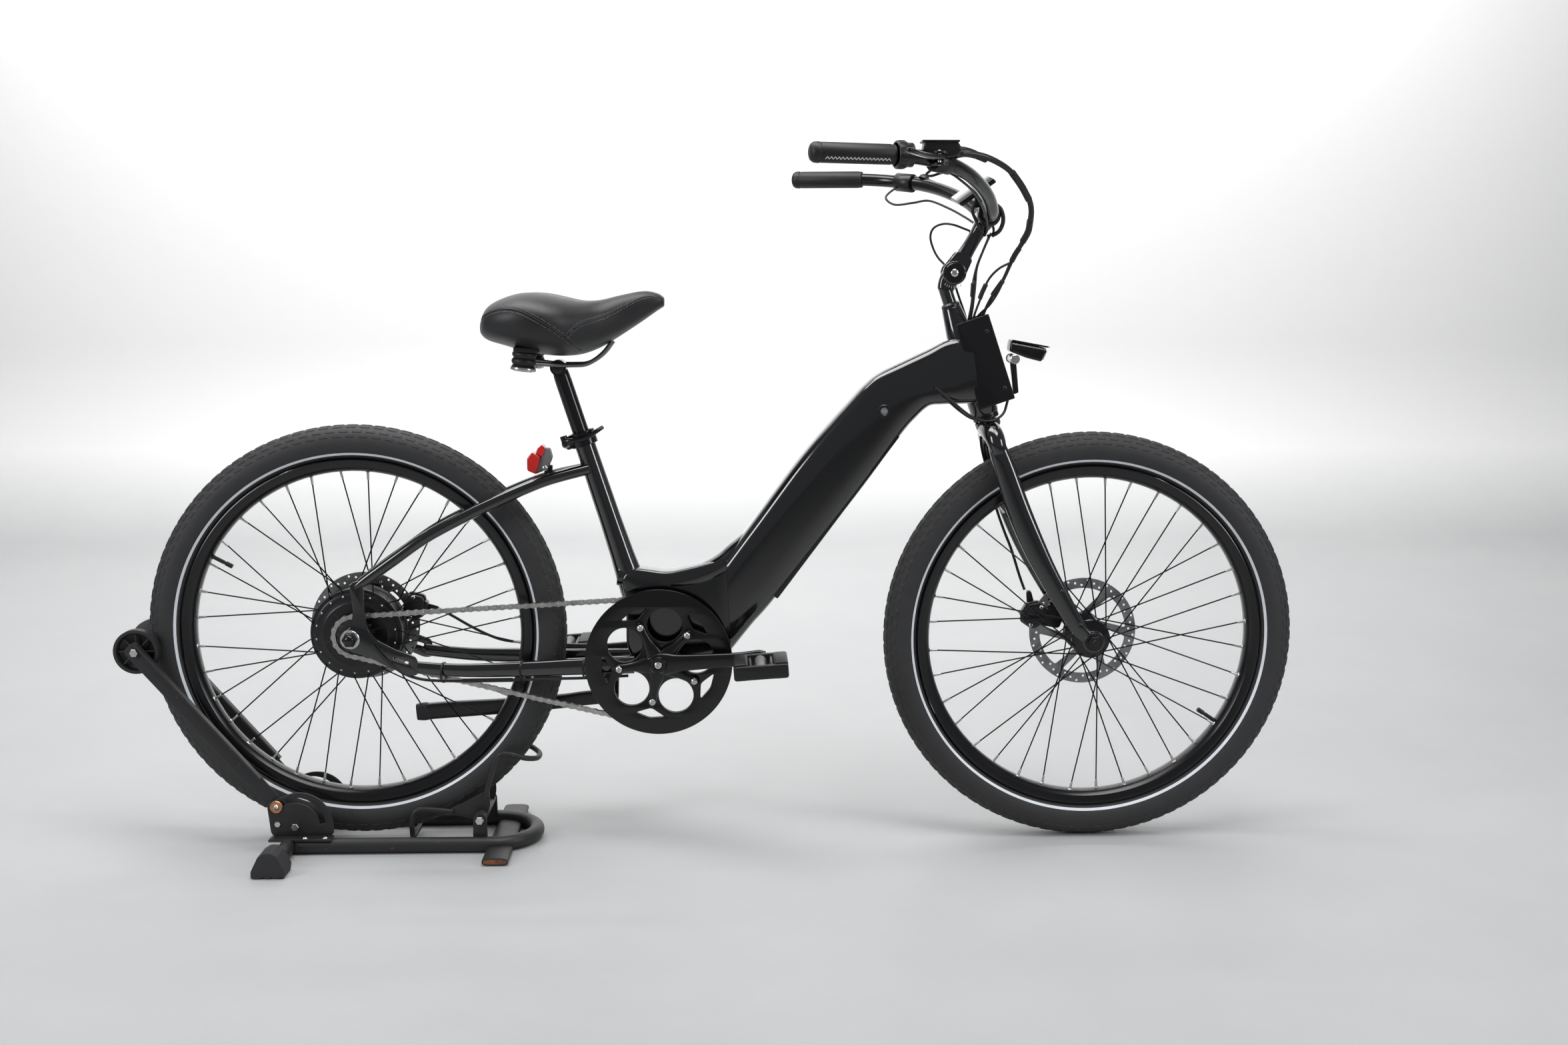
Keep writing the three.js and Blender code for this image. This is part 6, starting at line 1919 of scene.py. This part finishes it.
# %% Display
def display_glass():
    made = Finish("display_glass")
    smear = made.noise(40, 3)
    return made.surface(made.blend(smear, (0.010, 0.011, 0.013), (0.016, 0.017, 0.020)), 0.05 + 0.05 * smear,
                        0.0, Coat_Weight=1.0)


GLASS = display_glass()
DISPLAY_ROLL = Matrix.Rotation(math.radians(12), 3, Vector((0.848, 0, 0.53)))


def rolled(shape):
    """The display leans a little towards the chain side, as its clamp was tightened."""
    middle = Vector((400, 0, 1068))
    return Shape([tuple(DISPLAY_ROLL @ (Vector(p) - middle) + middle) for p in shape.points], shape.faces)


tablet = plate(softened([(369.4, 1052), (376, 1046.4), (430.6, 1085.2), (424.4, 1091.4)], 3), -31, 31, 1.8)
post = plate(softened([(401, 1066), (412, 1073), (413, 1054), (403, 1050)], 2), -6, 6, 1)
hinge_barrel = rod((408, -6, 1053), (408, 6, 1053), 5.2)
piece("display_case", rolled(tablet) + post + hinge_barrel, GLOSS_PLASTIC, "display", ("display",))
SCREEN_OUTLINE = ((371.6, 1052.8), (423.4, 1090.2), (422.8, 1091.2), (371, 1053.8))
screen = plate(softened(SCREEN_OUTLINE, 0.3), -27, 27, 0.4)
piece("display_screen", rolled(screen), GLASS, "display")
display_foot = together([plate(softened([(401, 1040), (415, 1042), (413.4, 1054), (402, 1053)], 2),
                               side * 6.5, side * 10, 0.8) for side in (1, -1)])
piece("display_bracket", display_foot, SATIN, "bars")

# %% [markdown]
# ## Leads and brake cables
#
# The leads leave the pod in one sleeve, arch in front of the bar and split into thin
# tails that drop into the box. Each is a tube along its real route. The bars tilt on the
# fork and the fork turns in the frame, so a lead that crosses both is cut at one height
# into an upper and a lower half.

# %% Main lead
MAIN_LEAD = ((343, -272, 1107), (366, -262, 1106), (392, -248, 1100), (423, -220, 1086), (450, -185, 1062),
             (468.5, -150, 1034), (470, -115, 999), (461, -90, 975), (454, -70, 957), (444, -45, 926),
             (430, -28, 900.5), (421, -17, 880), (414, -10, 858), (412, -8, 838))
SPLIT_HEIGHT = 928
STEER_BEND = (on_head(236), on_head(150))
FAR_BEND = (on_head(310), on_head(242))
NEAR_BEND = (on_head(272), on_head(240))


def leads(name, paths, radii, finish, stem_bend, steps=10, replaces=()):
    """Leads cut at one height into an upper and a lower half."""
    uppers, lowers = [], []
    for path, radius in zip(paths, radii):
        sizes = radius if isinstance(radius, list) else [radius] * len(path)
        rows = flowing([(*p, r) for p, r in zip(path, sizes)], 6)
        above = sum(row[2] > SPLIT_HEIGHT for row in rows)
        for part, half in ((rows[:above + 1], uppers), (rows[max(above, 0):], lowers)):
            if len(part) > 2:
                half.append(tube([row[:3] for row in part], [row[3] for row in part], steps, 1))
    if uppers:
        upper = piece_free(name, together(uppers), finish, replaces)
        [place(p) for p in stem_bend]
        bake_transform(upper)
    if lowers:
        lower = piece_free(name + ("_lower" if uppers else ""), together(lowers), finish)
        [place(p) for p in STEER_BEND]
        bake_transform(lower)


def piece_free(name, shape, finish, replaces=()):
    mesh = bpy.data.meshes.new(name)
    mesh.from_pydata([place(p) for p in shape.points], [], shape.faces)
    mesh.shade_smooth()
    obj = bpy.data.objects.new(name, mesh)
    bpy.context.scene.collection.objects.link(obj)
    obj.data.materials.append(finish)
    if replaces:
        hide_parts(*replaces)
    return obj


main_radii = [4.8, 4.8, 4.6, 4.4, 4.4, 4.4, 4.4, 3.6, 3.2, 2.8, 2.6, 2.4, 2.4, 2.4]
leads("main_lead", [MAIN_LEAD], [main_radii], CABLE_BLACK, FAR_BEND, 16, ("control_harness",))
SLEEVES = (((428, -214, 1083), (447, -188, 1064.5), (462, -165, 1046)),
           ((470.4, -132, 1016), (470.4, -116, 1000), (465, -100, 985)),
           ((461, -89, 974), (457, -79, 965.5), (453.4, -69, 955.6)))
leads("lead_sleeves", SLEEVES, (5.4, 5.2, 4.4), PLASTIC, FAR_BEND, 16)

# %% Tails, connectors and the rider's side
FAR_TAILS = (((452, -68, 953), (436, -56, 944), (424, -40, 930), (417, -30, 914), (409, -24, 890),
              (402, -18, 868), (398, -10, 846)),
             ((447, -52, 934), (438, -38, 908), (426, -24, 886), (409, -6, 866), (404, 0, 842)))
NEAR_TAILS = (((428, -14, 1000), (416, -21, 975), (405, -23, 948), (399, -23, 920), (398, -20, 890),
               (394, -14, 862), (392, -10, 842)),
              ((430, 14, 998), (420, 18, 972), (410, 14, 945), (406, 2, 915), (402, -4, 885),
               (398, -4, 858), (396, -4, 838)))
THIN_LOOP = ((404, 26, 1003), (392, 31, 1008), (374, 38, 1015), (358, 45, 1016.6), (343, 48, 1010),
             (337.8, 49, 996), (342, 46, 977.8), (350, 41, 962), (362, 34, 948), (372, 28, 930),
             (382, 22, 900), (392, 16, 870), (398, 12, 846))
CONNECTORS = (((443, -46, 924), (436, -36, 912), (430, -29, 902)),
              ((418.6, -32, 919), (413, -27, 905), (410, -25, 896)),
              ((399.4, -21.6, 921), (398.8, -21, 908), (398.4, -20.6, 899)))
leads("far_tails", FAR_TAILS, (1.9, 1.9), CABLE_BLACK, FAR_BEND)
leads("near_tails", NEAR_TAILS, (2.0, 2.0), CABLE_BLACK, NEAR_BEND)
leads("thin_loop_lead", [THIN_LOOP], [1.9], CABLE_BLACK, NEAR_BEND)
leads("lead_connectors", CONNECTORS, (4.0, 3.8, 3.6), PLASTIC, NEAR_BEND, 14)
lever_cables = [
    tube([(306, -262, 1086), (296, -256, 1078), (304, -246, 1076), (330, -232, 1082), (356, -205, 1070),
          (380, -160, 1056), (400, -110, 1038), (414, -60, 1020), (420, -26, 1006), (418, -12, 996)],
         2.0, 10),
    tube([(306, 262, 1090), (282, 250, 1070), (296, 236, 1056), (326, 214, 1058), (350, 180, 1060),
          (378, 140, 1046), (398, 90, 1030), (412, 50, 1016), (420, 22, 1004)], 2.0, 10),
    tube([(330, 250, 1104), (352, 226, 1098), (378, 186, 1084), (402, 130, 1066), (418, 80, 1046),
          (428, 36, 1030), (436, 20, 1012), (434, 4, 1000), (424, 0, 996)], 2.2, 10),
    tube([(398, -28, 1046), (396, -26, 1034), (402, -24, 1020), (408, -22, 1008), (414, -20, 1000)], 2.6, 12),
    tube([(428, -20, 1048), (442, -20, 1038), (447, -16, 1020), (442, -10, 1004), (430, -8, 996)], 3.4, 14),
]
piece("bar_leads", together(lever_cables), CABLE_BLACK, "bars")

# %% Front brake cable and the loop below the box
FRONT_CABLE = ((406, 20, 708), (411, 17, 697), (420, 20, 686), (425, 34, 653.5), (434, 44, 621),
               (455, 62, 549), (470, 68, 508), (484, 70, 473.6), (498, 69, 430), (507, 66, 405))
piece("front_brake_cable_outer", tube(FRONT_CABLE, 2.4, 12, 8), CABLE_BLACK, "fork",
      ("front_brake_cable",))
lower_loop = tube([(462, -10, 742), (458.7, -14, 728), (450, -25, 710), (430, -31, 700), (400.5, -34, 706),
                   (365, -37, 733), (350, -38, 746), (338, -37, 755)], 2.2, 12)
inner_loop = tube([(440, 12, 740), (436, 14, 722), (420, 8, 706), (404, -14, 702), (380, -30, 716),
                   (352, -36, 740)], 2.0, 12)
piece("box_lower_leads", lower_loop + inner_loop, CABLE_BLACK, "frame")
print("cockpit wired")
# %% [markdown]
# ## Floor stand
#
# The stand is shop-made from round tube: a hairpin base, a cross tube on rubber feet
# behind and a flat oval one in front, two hinged arms that carry a roller behind the
# tyre, and a wire cradle that rocks up when the wheel rolls in. Its paint is worn and
# rust shows where bare steel met water, so its finish has a rust mask.


# %% Worn paint
def worn_paint():
    made = Finish("stand_paint")
    patches = made.noise(22, 6, 0.65)
    fine = made.noise(240, 4, 0.6)
    scuffs = made.ramp(0.6 * patches + 0.4 * fine, (0.60, 0), (0.68, 1))
    rust = made.ramp(0.7 * made.noise(34, 5, 0.7) + 0.3 * fine, (0.62, 0), (0.68, 1))
    black = made.blend(scuffs, (0.014, 0.014, 0.015), (0.045, 0.044, 0.043))
    colour = made.blend(rust, black, (0.16, 0.055, 0.022))
    return made.surface(colour, 0.38 + 0.16 * patches + 0.2 * rust, 0.0,
                        Normal=made.bump(fine, 0.08, 0.4))


def rusty_steel():
    made = Finish("rusty_steel")
    cloud = made.noise(70, 6, 0.7)
    stain = made.blend(made.ramp(cloud, (0.35, 0), (0.65, 1)), (0.07, 0.03, 0.016), (0.34, 0.12, 0.04))
    return made.surface(stain,
                        0.7 + 0.2 * cloud, 0.0, Normal=made.bump(cloud, 0.3, 0.6))


STAND_PAINT, RUST = worn_paint(), rusty_steel()

# %% Base
STAND_PIVOT = Vector((-703, 0, 41.5))
CRADLE_PIVOT = Vector((-403, 0, 51))
ROLLER_PLACE = Vector((-950, 0, 332))
STAND_TUBE = 12.5
LEG_Y = 72.0


def hairpin():
    turn = [(-390 + LEG_Y * math.cos(math.radians(a)), LEG_Y * math.sin(math.radians(a)), STAND_TUBE)
            for a in range(-90, 91, 15)]
    route = [(-712, -LEG_Y, STAND_TUBE), (-600, -LEG_Y, STAND_TUBE), (-470, -LEG_Y, STAND_TUBE), *turn,
             (-470, LEG_Y, STAND_TUBE), (-600, LEG_Y, STAND_TUBE), (-712, LEG_Y, STAND_TUBE)]
    return tube(route, STAND_TUBE, 28, 5)


def front_crossbar():
    """A flattened tube with open ends."""
    def section(half_x, half_z, y):
        return [(-369 + a, y, 7 + b) for a, b in squircle(half_x, half_z, 32, 3.2)]

    shells = [section(21, 6, -145), section(21, 6, 145)]
    bores = [section(18.6, 3.9, 145), section(18.6, 3.9, 95)]
    more = [section(18.6, 3.9, -95), section(18.6, 3.9, -145)]
    outer = skin(shells, capped=False)
    lips = skin([shells[1], bores[0]], capped=False) + skin([more[1], shells[0]], capped=False)
    return outer + lips, skin(bores) + skin(more)


def ear():
    outline = [(-415, 16), (-391, 16), (-392, 54), (-396, 61), (-403, 64), (-410, 61), (-414, 54)]
    return together([plate(softened(outline, 4), side * 60, side * 64, 0.8) for side in (1, -1)])


def arc_points(radius, start, stop, steps=16):
    return [polar(STAND_PIVOT, radius, start + (stop - start) * i / steps) for i in range(steps + 1)]


def hinge_plates():
    outline = [(-742, 26), (-641, 26), (-640, 48), (-648, 72), (-664, 90), (-684, 99), (-706, 99),
               (-728, 90), (-748, 82)]
    slot = arc_points(49.6, 144, 6.5) + arc_points(40.4, 6.5, 144)
    webs = [plate(softened(outline, 10), side * 60, side * 63, 0.6, [slot]) for side in (1, -1)]
    feet = [plate(softened([(-742, 23), (-641, 23), (-641, 27), (-742, 27)], 1), side * 60, side * 84, 0.6)
            for side in (1, -1)]
    return together(webs + feet)


crossbar, crossbar_bores = front_crossbar()
rear_cross = rod((-712, -165, 14.5), (-712, 165, 14.5), STAND_TUBE, steps=40, edge=1)
shaft = rod((-403, -69, 51), (-403, 69, 51), 6)
weld_beads = together([turned([(STAND_TUBE - 1, -2.5), (STAND_TUBE + 1.8, 0), (STAND_TUBE - 1, 2.5)],
                              (-698, side * LEG_Y, STAND_TUBE + 2), (1, 0, 0), 28) for side in (1, -1)])
weldment = together([hairpin(), crossbar, ear(), hinge_plates(), rear_cross, shaft, weld_beads])
piece("stand_base_weldment", weldment, STAND_PAINT, "stand", ("stand_base",), sharp=45)
piece("crossbar_rusty_bores", crossbar_bores, RUST, "stand")
bolt_heads = [hex_bolt((x, side * 63, z), (0, side, 0), 5.4, 3.6) for side in (1, -1)
              for x, z in ((-731, 47),)]
bolt_heads += [dome_bolt((x, side * 77, 27), (0, 0, 1), 4.6, 2.6) for side in (1, -1) for x in (-684, -652)]
bolt_heads += [hex_bolt((-403, side * 66, 51), (0, side, 0), 7.4, 5) for side in (1, -1)]
bolt_heads += [hex_bolt((-703, side * 63, 41.5), (0, side, 0), 6.4, 4) for side in (1, -1)]
piece("stand_bolts", together(bolt_heads), SILVER, "stand")

# %% Rubber feet
GROOVES = 3


def foot_block(side):
    outline = [(-741, 1.5)]
    for i in range(GROOVES):
        x = -732 + 14 * i
        outline += [(x, 0), (x + 7, 0), (x + 8, 2), (x + 12, 2)]
    outline += [(-690, 0), (-688, 12), (-699, 36), (-708, 42), (-719, 42), (-729, 36), (-741, 12)]
    return plate(softened(outline, 2.5, 4), side * 150, side * 196, 1.6, rounds=3)


for side, name in ((-1, "stand_foot_right"), (1, "stand_foot_left")):
    piece(name + "_rubber", foot_block(side), FOOT_RUBBER, "stand", (name,))

# %% Arms and roller
ARM_WAY = (ROLLER_PLACE - STAND_PIVOT).normalized()
ARM_ACROSS = Vector((-ARM_WAY.z, 0, ARM_WAY.x))
ARM_LENGTH = (ROLLER_PLACE - STAND_PIVOT).length
LOCK_PLACE = STAND_PIVOT + ARM_WAY * 45


def on_arm(along, across):
    p = STAND_PIVOT + ARM_WAY * along + ARM_ACROSS * across
    return p.x, p.z


def arms():
    web = softened([on_arm(-12, -12), on_arm(ARM_LENGTH + 14, -14), on_arm(ARM_LENGTH + 14, 14),
                    on_arm(-12, 12)], 9)
    flange = softened([on_arm(96, -14), on_arm(ARM_LENGTH + 8, -14), on_arm(ARM_LENGTH + 8, -10.5),
                       on_arm(96, -10.5)], 1)
    made = []
    for side in (1, -1):
        made.append(plate(web, side * 53, side * 56.5, 0.7))
        made.append(plate(flange, side * 55, side * 68, 0.6))
    return together(made)


roller_axle = rod(ROLLER_PLACE - Vector((0, 61, 0)), ROLLER_PLACE + Vector((0, 61, 0)), 4)
piece("stand_arm_irons", arms() + roller_axle, STAND_PAINT, "stand_arms", ("stand_arm",),
      sharp=45)
arm_bolts = [hex_bolt((ROLLER_PLACE.x, side * 56.5, ROLLER_PLACE.z), (0, side, 0), 7.5, 5)
             for side in (1, -1)]
lock_bolts = [dome_bolt((LOCK_PLACE.x, side * 65.5, LOCK_PLACE.z), (0, side, 0), 5.4, 4.6)
              for side in (1, -1)]
piece("stand_arm_bolts", together(arm_bolts + lock_bolts), SILVER, "stand_arms")
lock_rings = together([turned([(4.2, 63.5), (9.6, 63.5), (10.6, 64.6), (9.6, 66), (4.2, 66)],
                              (LOCK_PLACE.x, 0, LOCK_PLACE.z), (0, side, 0), 36, closed=True)
                       for side in (1, -1)])
piece("stand_lock_rings", lock_rings, COPPER, "stand_arms")


def roller_shape():
    side = [(6.5, 30), (20, 31.5), (36, 37), (36, 51.5), (34, 52), (31, 51.8), (30, 50), (28.5, 42),
            (26, 41), (10, 40), (9.4, 42), (9, 51.6), (4.6, 51.6)]
    profile = [(r, -y) for r, y in reversed(side)] + side
    body = turned(profile, ROLLER_PLACE, (0, 1, 0), 72, closed=True)
    ribs_made = []
    for hand in (1, -1):
        for i in range(8):
            a = 2 * math.pi * i / 8
            out = Vector((math.cos(a), 0, math.sin(a)))
            start = ROLLER_PLACE + out * 9 + Vector((0, hand * 46, 0))
            end = ROLLER_PLACE + out * 29 + Vector((0, hand * 46, 0))
            ribs_made.append(rod(start, end, 1.8, steps=10))
    return body + together(ribs_made)


piece("stand_roller_wheel", roller_shape(), ROLLER_PLASTIC, "stand_roller", ("stand_roller",))

# %% Cradle
sleeve_tube = turned([(6.6, -57), (9, -57), (10, -56), (10, 56), (9, 57), (6.6, 57)], CRADLE_PIVOT, (0, 1, 0),
                     36, closed=True)
gusset = plate(softened([(-396, 44), (-389, 70), (-390, 92), (-398, 92), (-430, 74), (-456, 62), (-452, 54),
                         (-410, 42)], 5), 36, 39.5, 0.6)
CRADLE_WIRE = 4.5
LOWER_WIRE = ((-450, -40, 58), (-492, -40, 62), (-510, -40, 60), (-517, -40, 48), (-518, -39, 28),
              (-518, -32, 14), (-518, 0, 12))
UPPER_WIRE = ((-396, -40, 84), (-388, -40, 116), (-379, -41, 142), (-370, -42, 155), (-350, -42, 154),
              (-330, -37, 147), (-315, -20, 142), (-311, 0, 141))
lower_wire, upper_wire = (tube(there_and_back(half), CRADLE_WIRE, 18) for half in (LOWER_WIRE, UPPER_WIRE))
piece("stand_cradle_frame", together([sleeve_tube, gusset, gusset.mirrored(), lower_wire, upper_wire]),
      STAND_PAINT, "stand_cradle", ("stand_cradle",), sharp=45)
print("stand built")
